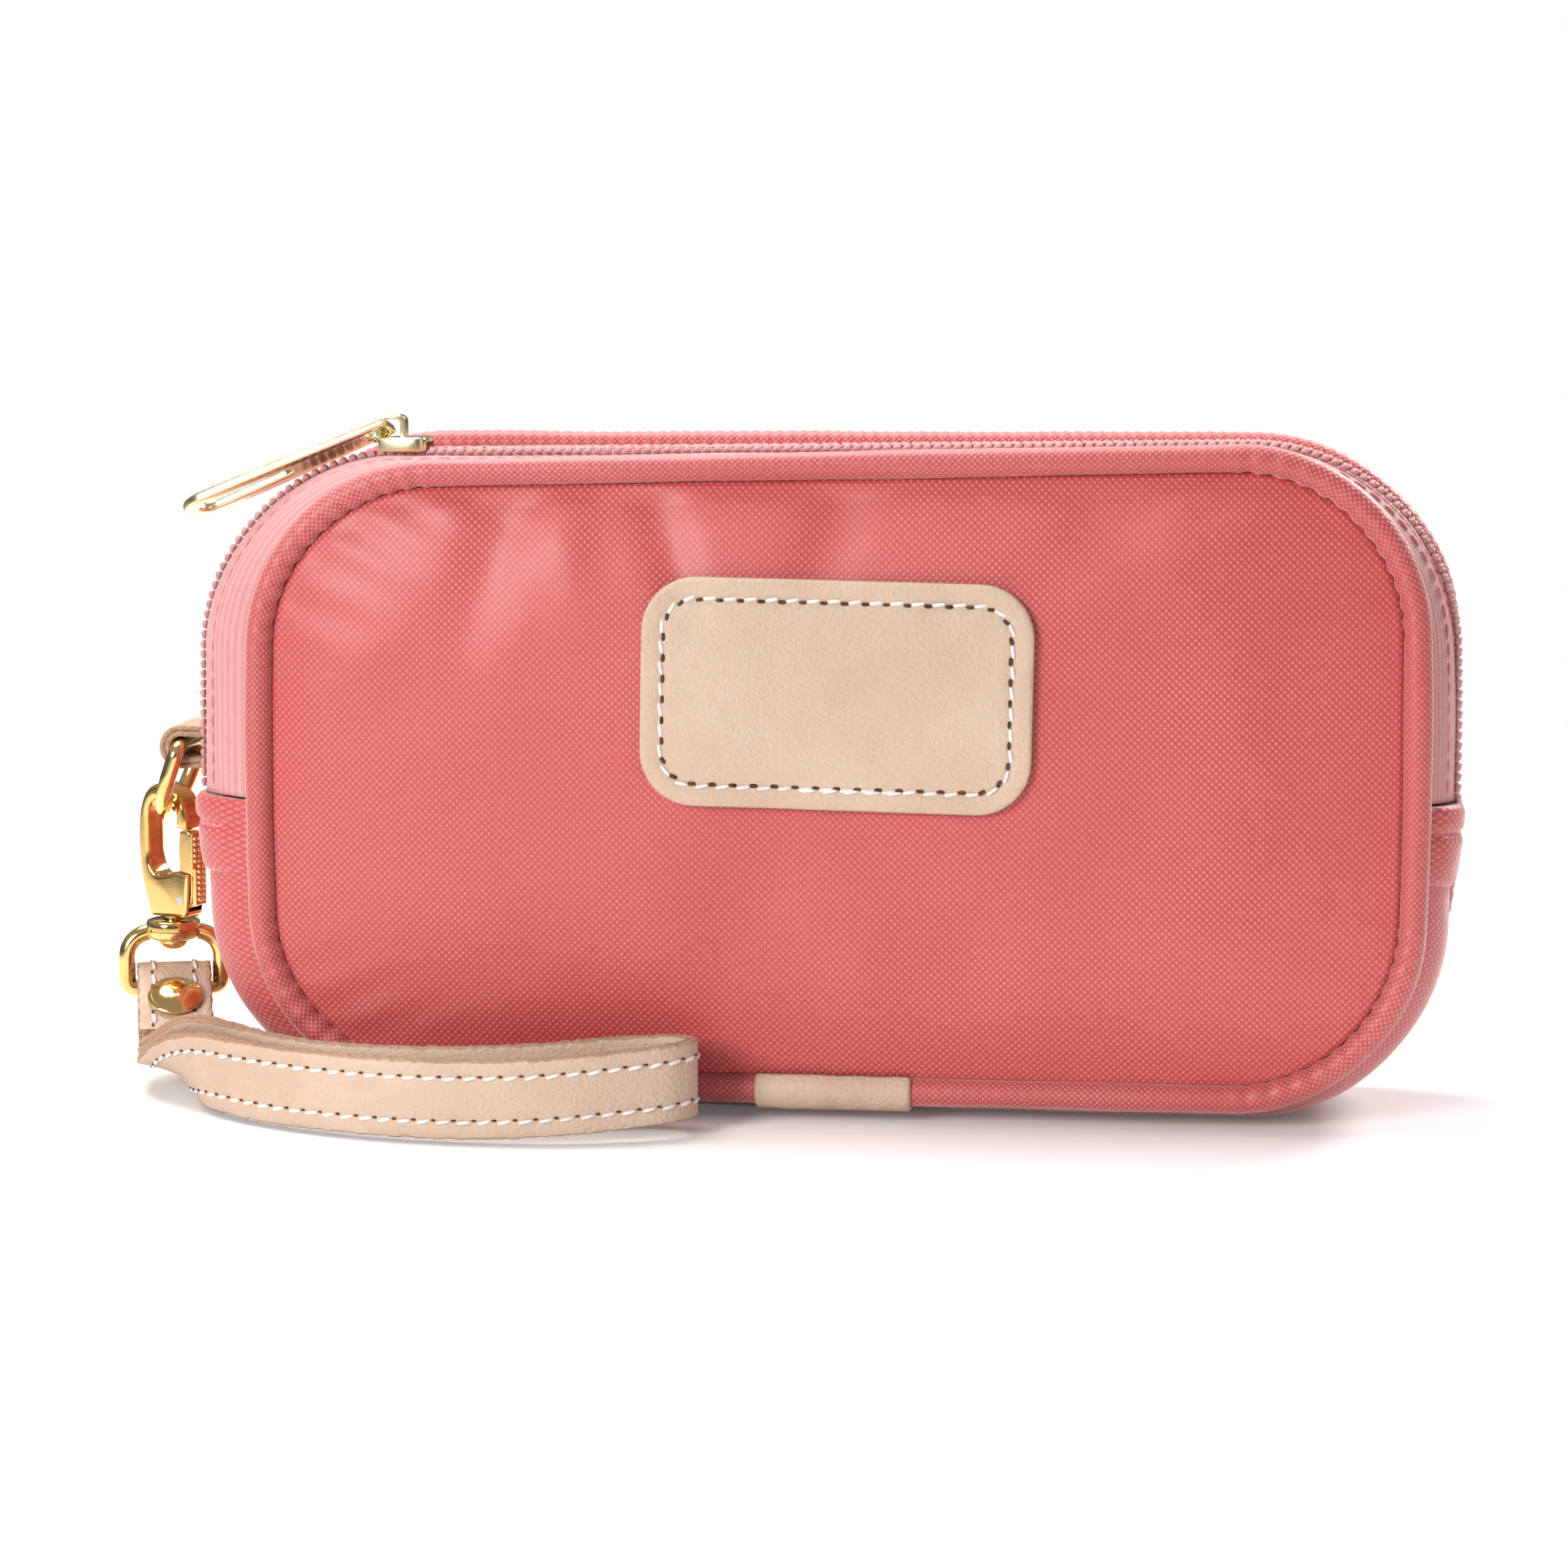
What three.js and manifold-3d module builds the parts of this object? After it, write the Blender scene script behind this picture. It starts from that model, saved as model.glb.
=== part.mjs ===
// A zipped wristlet wallet of coated canvas, with a leather wrist strap on a snap hook.
// Millimetres, +Z up. The origin is on the flat bottom, midway along the body.
// The front faces -Y, and the strap's hardware hangs from the left end, at -X.
import * as THREE from "three";
import { mergeVertices } from "three/addons/utils/BufferGeometryUtils.js";
import Module from "manifold-3d";

const wasm = await Module();
wasm.setup();

// ---------- driving dimensions ----------
const GAP = 0.3; // clearance between pieces that touch
const SEAM_Y = 18.5; // the piping seams stand this far in front of and behind the middle
const SEAM_EDGE_Y = 15.9; // where the side bands stop, short of the piping
const FLAT_Y = 9; // the side bands are flat across this half depth
const ZIP_END_Z = 50; // height of the top of the lower band
const ZIP_START_Z = 50.4; // the zip begins just above it
const BARREL = 0.02; // how much the ends of the body pull in above and below the middle
// Outlines seen from the front: piping seams and the fullest line between them.
const FRONT = { cx: 2.4, half: 91, bottom: 4.6, top: 102.8, corner: 27, lean: 0.0243 };
const MIDDLE = { cx: -0.1, half: 99.4, bottom: 0, top: 104.6, corner: 31, lean: 0.0151 };
const BACK = { cx: 1.5, half: 97.5, bottom: 4.6, top: 104.4, corner: 30, lean: 0.003 };
const LOWER_STEPS = 26;
const UPPER_STEPS = 30;

const PIPING_R = 2.2;
const PANEL_T = 1.2;
const PANEL_INSET = PIPING_R + 0.4;
const PANEL_CROWN = 6;
const CANVAS_T = 1.2;
const FOLD_LIFT = 0.45; // the folded ends stand off the band beneath them
const TAPE_T = 0.8;
// Inside: a bound seam behind each piping, and a lining that hangs clear of the shell.
const BINDING = { inset: 5, seamY: 14.6, radius: 1.1 };
const LINING = { inset: 7, seamY: 16.3, crown: 5, thick: 0.5, gussetDepth: 1.6, gussetY: 12 };

const PATCH = { width: 60.7, height: 35.5, corner: 8.4, thick: 1.8, x: 4.4, z: 67.9, turn: 1 };
const WRAP = { x: 3.4, length: 24.7, inner: PIPING_R + GAP, outer: 3.1 };

const ZIP_Y = -7; // the zip's centre line, in front of the middle
const COIL_NEAR = 0.65;
const COIL_FAR = 2.6;
const COIL_RISE = 1.1;
const SLIDER_X = -67;

const HOOK_X = -110;
const HARDWARE_Y = 6.3; // the tab, D-ring, hook and eye hang on this plane
const TAB = { width: 12.5, ply: 1.9, inner: 1.7, x: -106.5, z: 55.2 };
const RING = { wire: 1.3, halfWidth: 7.9, drop: 12.2, tilt: 19 };
const HOOK = { z: 26.2, thick: 4.6, yaw: -25 };
const EYE = { yaw: 16, wire: 1.4, halfWidth: 7.75, barZ: 14.1, armZ: 23.6 };

const STRAP = {
  width: 12,
  ply: 1,
  slope: 31,
  flap: 14.5,
  layerPitch: 2.6,
  foldR: 3.1,
  steps: 76,
  sewn: [36, 64], // the steps between which the stitching shows, clear of the riveted end
};
const STITCH_ROW = 3.4; // each stitch row's distance from the strap's middle
const RIVET_AT = 7.2; // along the strap from the eye's bar

// ---------- colours and finishes ----------
const canvas = () => new THREE.MeshStandardMaterial({ color: 0xd9646a, roughness: 0.55 });
const webbing = () => new THREE.MeshStandardMaterial({ color: 0xe08488, roughness: 0.75 });
const lining = () => new THREE.MeshStandardMaterial({ color: 0xd8c8b4, roughness: 0.8 });
const leather = () => new THREE.MeshStandardMaterial({ color: 0xe4c8aa, roughness: 0.6 });
const thread = () => new THREE.MeshStandardMaterial({ color: 0xf1e9e4, roughness: 0.7 });
const gold = () =>
  new THREE.MeshStandardMaterial({ color: 0xe0b25c, roughness: 0.18, metalness: 1 });
const paleBrass = () =>
  new THREE.MeshStandardMaterial({ color: 0xe8dc98, roughness: 0.28, metalness: 1 });
const steel = () =>
  new THREE.MeshStandardMaterial({ color: 0xb8b8b4, roughness: 0.3, metalness: 1 });

const radians = THREE.MathUtils.degToRad;
const vec = (x, y, z) => new THREE.Vector3(x, y, z);

// ---------- solids from sections ----------
function signedVolume(points, triangles) {
  const cross = new THREE.Vector3();
  let six = 0;
  for (let i = 0; i < triangles.length; i += 3) {
    cross.crossVectors(points[triangles[i + 1]], points[triangles[i + 2]]);
    six += points[triangles[i]].dot(cross);
  }
  return six / 6;
}

function solidGeometry(points, triangles) {
  if (signedVolume(points, triangles) < 0) triangles.reverse();
  const geometry = new THREE.BufferGeometry().setFromPoints(points);
  geometry.setIndex(triangles);
  geometry.computeVertexNormals();
  return geometry;
}

// A closed ring of sections makes a hoop. An open run is capped at both ends: "strip" pairs the
// two long sides of a ribbon section, and "fan" closes a ring on its centre.
function loft(loops, cap) {
  const sides = loops[0].length;
  const points = loops.flat();
  const triangles = [];
  const at = (i, k) => (i % loops.length) * sides + (k % sides);
  const quad = (a, b, c, d) => triangles.push(a, b, c, a, c, d);
  // A ribbon's two long faces are split along the same diagonal, so a twisted one keeps its depth.
  const crossed = (k) => cap === "strip" && k >= sides / 2;
  const spans = cap === "none" ? loops.length : loops.length - 1;
  for (let i = 0; i < spans; i++) {
    for (let k = 0; k < sides; k++) {
      const ring = [at(i, k), at(i, k + 1), at(i + 1, k + 1), at(i + 1, k)];
      if (crossed(k)) ring.push(ring.shift());
      quad(...ring);
    }
  }
  const last = loops.length - 1;
  if (cap === "strip") {
    for (let k = 0; k < sides / 2 - 1; k++) {
      const far = sides - 1 - k;
      quad(at(0, far), at(0, far - 1), at(0, k + 1), at(0, k));
      quad(at(last, k), at(last, k + 1), at(last, far - 1), at(last, far));
    }
  }
  if (cap === "fan") {
    for (const i of [0, last]) {
      const centre = new THREE.Vector3();
      loops[i].forEach((p) => centre.addScaledVector(p, 1 / sides));
      points.push(centre);
      for (let k = 0; k < sides; k++) {
        const [a, b] = i === 0 ? [k + 1, k] : [k, k + 1];
        triangles.push(points.length - 1, at(i, a), at(i, b));
      }
    }
  }
  return solidGeometry(points, triangles);
}

function toManifold(geometry) {
  const bare = geometry.clone();
  bare.deleteAttribute("normal");
  bare.deleteAttribute("uv");
  const merged = mergeVertices(bare, 1e-4);
  return new wasm.Manifold(
    new wasm.Mesh({
      numProp: 3,
      vertProperties: merged.attributes.position.array,
      triVerts: new Uint32Array(merged.index.array),
    }),
  );
}

function fromManifold(solid) {
  const mesh = solid.getMesh();
  const geometry = new THREE.BufferGeometry();
  geometry.setAttribute("position", new THREE.BufferAttribute(mesh.vertProperties, 3));
  geometry.setIndex(new THREE.BufferAttribute(mesh.triVerts, 1));
  geometry.computeVertexNormals();
  return geometry;
}

const cut = (base, tool) => fromManifold(toManifold(base).subtract(toManifold(tool)));
const join = (base, extra) => fromManifold(toManifold(base).add(toManifold(extra)));

function named(name, geometry, material) {
  const mesh = new THREE.Mesh(geometry, material);
  mesh.name = name;
  return mesh;
}

// A flat shape drawn in X and Z, given a thickness along Y about the XZ plane.
function plate(shape, thick, bevel = 0) {
  const geometry = new THREE.ExtrudeGeometry(shape, {
    depth: thick - 2 * bevel,
    bevelEnabled: bevel > 0,
    bevelThickness: bevel,
    bevelSize: bevel,
    bevelOffset: -bevel,
    bevelSegments: bevel > 0.5 ? 2 : 1,
    curveSegments: 6,
  });
  return geometry.translate(0, 0, bevel - thick / 2).rotateX(Math.PI / 2);
}

// ---------- the body's outline ----------
// Softens an outline: its ends pull in above and below, and its top leans.
function soften(point, line) {
  const rise = (point.y - MIDDLE.top / 2) / (MIDDLE.top / 2);
  const x = line.cx + (point.x - line.cx) * (1 - BARREL * rise * rise);
  return new THREE.Vector2(x, point.y * (1 + (line.lean * x) / line.top));
}

function sideLimits(line, inset) {
  return {
    left: line.cx - line.half + inset,
    right: line.cx + line.half - inset,
    bottom: line.bottom + inset,
    top: line.top - inset,
    r: line.corner - inset,
  };
}

// From the zip's left end down, along the bottom and up to its right end.
function lowerOutline(line, inset) {
  const { left, right, bottom, r } = sideLimits(line, inset);
  const path = new THREE.Path();
  path.moveTo(left, ZIP_END_Z);
  path.lineTo(left, bottom + r);
  path.absarc(left + r, bottom + r, r, Math.PI, 1.5 * Math.PI, false);
  path.lineTo(right - r, bottom);
  path.absarc(right - r, bottom + r, r, 1.5 * Math.PI, 2 * Math.PI, false);
  path.lineTo(right, ZIP_END_Z);
  return path.getSpacedPoints(LOWER_STEPS).map((p) => soften(p, line));
}

// From the zip's right end up, over the top and down to its left end.
function upperOutline(line, inset) {
  const { left, right, top, r } = sideLimits(line, inset);
  const path = new THREE.Path();
  path.moveTo(right, ZIP_START_Z);
  path.lineTo(right, top - r);
  path.absarc(right - r, top - r, r, 0, Math.PI / 2, false);
  path.lineTo(left + r, top);
  path.absarc(left + r, top - r, r, Math.PI / 2, Math.PI, false);
  path.lineTo(left, ZIP_START_Z);
  return path.getSpacedPoints(UPPER_STEPS).map((p) => soften(p, line));
}

function wholeOutline(line, inset) {
  return [...lowerOutline(line, inset).slice(0, -1), ...upperOutline(line, inset).slice(0, -1)];
}

// ---------- sheets of the body ----------
// How far a side band has swelled from the seam's line to the fullest line.
function fullness(y) {
  const past = Math.max(0, Math.abs(y) - FLAT_Y) / (SEAM_Y - FLAT_Y);
  return 1 - past * past;
}

// A band round part of the body: ys across the depth, between two insets from its outer face.
function sideBand(outline, ys, outerInset, innerInset, from = 0, to = Infinity) {
  const face = (inset) => {
    const middle = outline(MIDDLE, inset);
    const edges = { front: outline(FRONT, inset), back: outline(BACK, inset) };
    return (i, y) => {
      const p = (y < 0 ? edges.front : edges.back)[i].clone().lerp(middle[i], fullness(y));
      return vec(p.x, y, p.y);
    };
  };
  const outer = face(outerInset);
  const inner = face(innerInset);
  const loops = outline(MIDDLE, 0)
    .map((_, i) => [...ys.map((y) => outer(i, y)), ...[...ys].reverse().map((y) => inner(i, y))])
    .filter((_, i) => i >= from && i <= to);
  return loft(loops, "strip");
}

// A crowned sheet inside a seam, bulging towards the side given by sign.
function crownedSheet(line, inset, seamY, crown, thick, sign, rings) {
  const rim = wholeOutline(line, inset);
  const centre = new THREE.Vector2(line.cx, (line.bottom + line.top) / 2);
  const ring = (share, shift) =>
    rim.map((p) => {
      const q = centre.clone().lerp(p, share);
      return vec(q.x, sign * (seamY + shift + crown * (1 - share ** 4)), q.y);
    });
  const shares = Array.from({ length: rings }, (_, i) => Math.sqrt((i + 1) / rings));
  const outside = shares.map((share) => ring(share, thick / 2));
  const inside = shares.map((share) => ring(share, -thick / 2)).reverse();
  return loft([...outside, ...inside], "fan");
}

// A round cord sewn all the way round a seam.
function seamCord(line, inset, seamY, radius, sides) {
  const outline = wholeOutline(line, inset);
  const count = outline.length;
  const loops = outline.map((p, i) => {
    const along = outline[(i + 1) % count].clone().sub(outline[(i + count - 1) % count]);
    const out = vec(along.y, 0, -along.x).normalize();
    return Array.from({ length: sides }, (_, k) => {
      const turn = (2 * Math.PI * (k + 0.5)) / sides;
      return vec(p.x, seamY, p.y)
        .addScaledVector(out, radius * Math.cos(turn))
        .add(vec(0, radius * Math.sin(turn), 0));
    });
  });
  return loft(loops, "none");
}

function bodyPieces() {
  const SHOULDER_Y = 12.5;
  const PANEL_RINGS = 6;
  const LINING_RINGS = 3;
  const CORD_SIDES = 8;
  const BINDING_SIDES = 4;
  const bottomYs = [-SEAM_EDGE_Y, -SHOULDER_Y, -FLAT_Y, FLAT_Y, SHOULDER_Y, SEAM_EDGE_Y];
  const frontTapeYs = [-SEAM_EDGE_Y, -SHOULDER_Y, -FLAT_Y, ZIP_Y - COIL_NEAR];
  const backTapeYs = [ZIP_Y + COIL_NEAR, FLAT_Y, SHOULDER_Y, SEAM_EDGE_Y];
  const liningYs = [-LINING.gussetY, -FLAT_Y, FLAT_Y, LINING.gussetY];
  const coil = (side) => {
    const ys = [ZIP_Y + side * COIL_NEAR, ZIP_Y + side * COIL_FAR].sort((a, b) => a - b);
    return sideBand(upperOutline, ys, -COIL_RISE, -GAP);
  };
  const fold = (from, to) =>
    sideBand(lowerOutline, bottomYs, -FOLD_LIFT - CANVAS_T, -FOLD_LIFT, from, to);
  const panel = (line, sign) =>
    crownedSheet(line, PANEL_INSET, SEAM_Y, PANEL_CROWN, PANEL_T, sign, PANEL_RINGS);
  const insideSheet = (line, sign) =>
    crownedSheet(line, LINING.inset, LINING.seamY, LINING.crown, LINING.thick, sign, LINING_RINGS);
  const piping = (line, sign) => seamCord(line, 0, sign * SEAM_Y, PIPING_R, CORD_SIDES);
  const binding = (line, sign) =>
    seamCord(line, BINDING.inset, sign * BINDING.seamY, BINDING.radius, BINDING_SIDES);
  const gussetLining = sideBand(
    lowerOutline,
    liningYs,
    LINING.gussetDepth,
    LINING.gussetDepth + LINING.thick,
  );
  return [
    named("front_panel", panel(FRONT, -1), canvas()),
    named("back_panel", panel(BACK, 1), canvas()),
    named("front_piping", piping(FRONT, -1), canvas()),
    named("back_piping", piping(BACK, 1), canvas()),
    named("bottom_gusset", sideBand(lowerOutline, bottomYs, 0, CANVAS_T), canvas()),
    named("gusset_fold_left", fold(0, 1), canvas()),
    named("gusset_fold_right", fold(LOWER_STEPS - 1, LOWER_STEPS), canvas()),
    named("zip_tape_front", sideBand(upperOutline, frontTapeYs, 0, TAPE_T), webbing()),
    named("zip_tape_back", sideBand(upperOutline, backTapeYs, 0, TAPE_T), webbing()),
    named("zip_coil_front", coil(-1), webbing()),
    named("zip_coil_back", coil(1), webbing()),
    named("front_seam_binding", binding(FRONT, -1), lining()),
    named("back_seam_binding", binding(BACK, 1), lining()),
    named("front_lining", insideSheet(FRONT, -1), lining()),
    named("back_lining", insideSheet(BACK, 1), lining()),
    named("gusset_lining", gussetLining, lining()),
  ];
}

// ---------- trim on the front ----------
function roundedRectangle(width, height, r, Kind = THREE.Shape) {
  const x = width / 2;
  const y = height / 2;
  const shape = new Kind();
  shape.moveTo(x, r - y);
  shape.absarc(x - r, y - r, r, 0, Math.PI / 2, false);
  shape.absarc(r - x, y - r, r, Math.PI / 2, Math.PI, false);
  shape.absarc(r - x, r - y, r, Math.PI, 1.5 * Math.PI, false);
  shape.absarc(x - r, r - y, r, 1.5 * Math.PI, 2 * Math.PI, false);
  return shape;
}

function labelPatch() {
  const { width, height, corner, thick } = PATCH;
  const surface = SEAM_Y + PANEL_CROWN + PANEL_T / 2 + GAP;
  const threadInset = 2.8;
  const threadWide = 0.8;
  const threadThick = 0.4;
  const ring = (inset, Kind) =>
    roundedRectangle(width - 2 * inset, height - 2 * inset, corner - inset, Kind);
  const row = ring(threadInset, THREE.Shape);
  row.holes.push(ring(threadInset + threadWide, THREE.Path));
  const patch = named("label_patch", plate(ring(0, THREE.Shape), thick), leather());
  const stitching = named("label_patch_thread", plate(row, threadThick), thread());
  stitching.position.y = -(thick / 2 + GAP + threadThick / 2);
  const group = new THREE.Group().add(patch, stitching);
  group.position.set(PATCH.x, -(surface + thick / 2), PATCH.z);
  group.rotation.y = radians(PATCH.turn);
  return group;
}

// A leather tongue wrapped round the front of the piping where its ends meet.
function pipingWrap() {
  const [low, high] = [radians(-72), radians(48)];
  const shape = new THREE.Shape();
  shape.absarc(0, 0, WRAP.outer, low, high, false);
  shape.absarc(0, 0, WRAP.inner, high, low, true);
  const depth = WRAP.length;
  const geometry = new THREE.ExtrudeGeometry(shape, { depth, bevelEnabled: false, curveSegments: 8 });
  geometry.translate(0, 0, -depth / 2).rotateY(Math.PI / 2).rotateX(Math.PI / 2);
  geometry.applyMatrix4(new THREE.Matrix4().makeBasis(vec(1, 0, 0), vec(0, -1, 0), vec(0, 0, -1)));
  const wrap = named("piping_joint_wrap", geometry, leather());
  wrap.position.set(WRAP.x, -SEAM_Y, FRONT.bottom);
  return wrap;
}

// ---------- zip slider ----------
// Its own frame stands on the tape: X along the zip, Z up.
const SLIDER = { plateTop: 2.9, plateUnder: 2, halfLength: 4.35, barX: -2.6, barZ: 4.65 };
const PULL = { length: 36, thick: 1.1, rest: 22 };

function sliderGroup() {
  const { plateTop, plateUnder, halfLength, barX, barZ } = SLIDER;
  const footTop = TAPE_T + 0.9;
  const half = [
    [0.3, plateUnder],
    [2.9, plateUnder],
    [2.9, 0.5],
    [4.1, 0.5],
    [4.1, plateTop - 0.5],
    [3.6, plateTop],
  ];
  const foot = [
    [3.4, -footTop - 1.2],
    [3.4, -footTop],
    [0.3, -footTop],
  ];
  const right = [...foot, ...half];
  const left = right.map(([y, z]) => [-y, z]).reverse();
  const section = new THREE.Shape([...right, ...left].map(([y, z]) => new THREE.Vector2(y, z)));
  const depth = 2 * halfLength;
  const body = new THREE.ExtrudeGeometry(section, { depth, bevelEnabled: false });
  body.applyMatrix4(new THREE.Matrix4().makeBasis(vec(0, 1, 0), vec(0, 0, 1), vec(1, 0, 0)));
  body.translate(-halfLength, 0, 0);

  const legOut = -halfLength;
  const arch = new THREE.Shape();
  const foundation = plateTop + GAP;
  const crest = barZ + 1.05;
  arch.moveTo(legOut, foundation);
  arch.lineTo(legOut, crest - 0.2);
  arch.quadraticCurveTo(legOut + 0.1, crest + 0.75, legOut + 1.4, crest + 0.75);
  arch.lineTo(legOut + 3.6, crest + 0.75);
  arch.quadraticCurveTo(legOut + 4.9, crest + 0.75, legOut + 5, crest - 0.2);
  arch.lineTo(legOut + 5, foundation);
  arch.lineTo(legOut + 4.3, foundation);
  arch.lineTo(legOut + 4.3, crest);
  arch.lineTo(legOut + 0.7, crest);
  arch.lineTo(legOut + 0.7, foundation);
  arch.closePath();

  const pull = new THREE.Shape();
  const { length } = PULL;
  const bar = 0.5;
  const endR = 4.6;
  pull.moveTo(-bar, -2.9);
  pull.lineTo(5, -3.3);
  pull.quadraticCurveTo(length - endR - 12, -endR, length - endR, -endR);
  pull.absarc(length - endR, 0, endR, -Math.PI / 2, Math.PI / 2, false);
  pull.quadraticCurveTo(length - endR - 12, endR, 5, 3.3);
  pull.lineTo(-bar, 2.9);
  pull.closePath();
  const eye = new THREE.Path();
  eye.moveTo(bar, -1.7);
  eye.lineTo(bar, 1.7);
  eye.lineTo(3.9, 1.7);
  eye.lineTo(3.9, -1.7);
  eye.closePath();
  const slot = new THREE.Path();
  const slotR = 2.3;
  slot.absarc(length - endR - 0.3, 0, slotR, -Math.PI / 2, Math.PI / 2, false);
  slot.absarc(length - 17, 0, slotR - 0.5, Math.PI / 2, 1.5 * Math.PI, false);
  pull.holes.push(eye, slot);
  const pullGeometry = plate(pull, PULL.thick, 0.2).rotateX(Math.PI / 2);
  const pullMesh = named("zip_pull", pullGeometry, paleBrass());
  pullMesh.position.set(barX, 0, barZ);
  pullMesh.rotation.y = Math.PI - radians(PULL.rest);

  const group = new THREE.Group().add(
    named("slider_body", body, paleBrass()),
    named("slider_bridge", plate(arch, 2.2), paleBrass()),
    pullMesh,
  );
  group.position.set(SLIDER_X, ZIP_Y, MIDDLE.top * (1 + (MIDDLE.lean * SLIDER_X) / MIDDLE.top));
  group.rotation.y = -Math.atan(MIDDLE.lean);
  return group;
}

// ---------- ring tab and D-ring ----------
function ringTab() {
  const wall = MIDDLE.cx - MIDDLE.half - GAP - TAB.x;
  const outer = TAB.inner + TAB.ply;
  const shape = new THREE.Shape();
  shape.moveTo(wall, outer - 0.3);
  shape.lineTo(0, outer);
  shape.absarc(0, 0, outer, Math.PI / 2, 1.5 * Math.PI, false);
  shape.lineTo(wall, 0.3 - outer);
  shape.lineTo(wall, 0.2 - TAB.inner);
  shape.lineTo(0, -TAB.inner);
  shape.absarc(0, 0, TAB.inner, 1.5 * Math.PI, Math.PI / 2, true);
  shape.lineTo(wall, TAB.inner - 0.2);
  shape.closePath();
  const tab = named("ring_tab", plate(shape, TAB.width), leather());
  tab.position.set(TAB.x, HARDWARE_Y, TAB.z);
  return tab;
}

function tubeSection(radius, sides) {
  const corners = Array.from({ length: sides }, (_, k) => {
    const turn = (2 * Math.PI * k) / sides;
    return new THREE.Vector2(radius * Math.cos(turn), radius * Math.sin(turn));
  });
  return new THREE.Shape(corners);
}

function tube(curve, radius, sides, steps) {
  return new THREE.ExtrudeGeometry(tubeSection(radius, sides), {
    extrudePath: curve,
    steps,
    bevelEnabled: false,
  });
}

// A hoop of round wire through evenly spaced points of a closed flat path in X and Z.
function wireHoop(points, radius, sides) {
  const count = points.length;
  const loops = points.map((p, i) => {
    const along = points[(i + 1) % count].clone().sub(points[(i + count - 1) % count]);
    const out = vec(along.y, 0, -along.x).normalize();
    return Array.from({ length: sides }, (_, k) => {
      const turn = (2 * Math.PI * k) / sides;
      return vec(p.x, 0, p.y)
        .addScaledVector(out, radius * Math.cos(turn))
        .add(vec(0, radius * Math.sin(turn), 0));
    });
  });
  return loft(loops, "none");
}

function dRing() {
  const { halfWidth, drop, wire, tilt } = RING;
  const corner = 1.6;
  const path = new THREE.Path();
  path.moveTo(0, 0);
  path.lineTo(halfWidth - corner, 0);
  path.absarc(halfWidth - corner, -corner, corner, Math.PI / 2, 0, true);
  path.lineTo(halfWidth, halfWidth - drop);
  path.absarc(0, halfWidth - drop, halfWidth, 0, -Math.PI, true);
  path.lineTo(-halfWidth, -corner);
  path.absarc(corner - halfWidth, -corner, corner, Math.PI, Math.PI / 2, true);
  path.lineTo(0, 0);
  const points = path.getSpacedPoints(38).slice(0, -1);
  const geometry = wireHoop(points, wire, 8).rotateZ(Math.PI / 2);
  const ring = named("d_ring", geometry, gold());
  ring.position.set(TAB.x, HARDWARE_Y, TAB.z);
  ring.rotation.y = radians(tilt);
  return ring;
}

// ---------- snap hook ----------
// Its own frame: X from the bow to the gate, Z up from the foot of the body.
const GATE = { thick: 2.8, pivotX: 3.5, pivotZ: 3, pinR: 0.7, tip: 14.6 };

function round(radius, depth, x, z) {
  const shape = new THREE.Shape();
  shape.absarc(0, 0, radius, 0, 2 * Math.PI, false);
  return plate(shape, depth).translate(x, 0, z);
}

function hookBody() {
  const shape = new THREE.Shape();
  shape.moveTo(-2.8, 0);
  shape.lineTo(4.6, 0);
  shape.lineTo(5.3, 7.4);
  shape.lineTo(2.4, 7.8);
  shape.lineTo(-1.4, 6.9);
  shape.quadraticCurveTo(-3.2, 8, -3.2, 11);
  shape.lineTo(-3.2, 16.6);
  shape.quadraticCurveTo(-3, 19.8, -0.2, 19.8);
  shape.quadraticCurveTo(2.4, 19.8, 2.7, 17.2);
  shape.lineTo(2.7, GATE.tip + 0.4);
  shape.lineTo(5, GATE.tip + 0.4);
  shape.quadraticCurveTo(5.3, 18.4, 3.4, 20.7);
  shape.quadraticCurveTo(1.8, 22.3, -0.6, 22.3);
  shape.quadraticCurveTo(-4.4, 22.1, -5.2, 16.6);
  shape.quadraticCurveTo(-5.9, 10.5, -4.6, 5);
  shape.lineTo(-2.8, 0);
  const recess = new THREE.Shape();
  recess.moveTo(0.5, 1.1);
  recess.lineTo(6.5, 1.1);
  recess.lineTo(6.5, 9);
  recess.lineTo(0.5, 9);
  recess.closePath();
  const slotted = cut(plate(shape, HOOK.thick, 0.7), plate(recess, GATE.thick + 2 * GAP));
  const pinHole = round(GATE.pinR + GAP, HOOK.thick + 2, GATE.pivotX, GATE.pivotZ);
  return named("hook_body", cut(slotted, pinHole), gold());
}

function hookGate() {
  const shape = new THREE.Shape();
  shape.moveTo(2.7, 1.6);
  shape.lineTo(4.9, 1.6);
  shape.lineTo(5.5, 4);
  shape.lineTo(5.5, 12.6);
  shape.lineTo(4.8, GATE.tip);
  shape.lineTo(2.8, GATE.tip);
  shape.lineTo(2.6, 12);
  shape.closePath();
  const hole = round(GATE.pinR + GAP, GATE.thick + 2, GATE.pivotX, GATE.pivotZ);
  return named("hook_gate", cut(plate(shape, GATE.thick), hole), gold());
}

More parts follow.
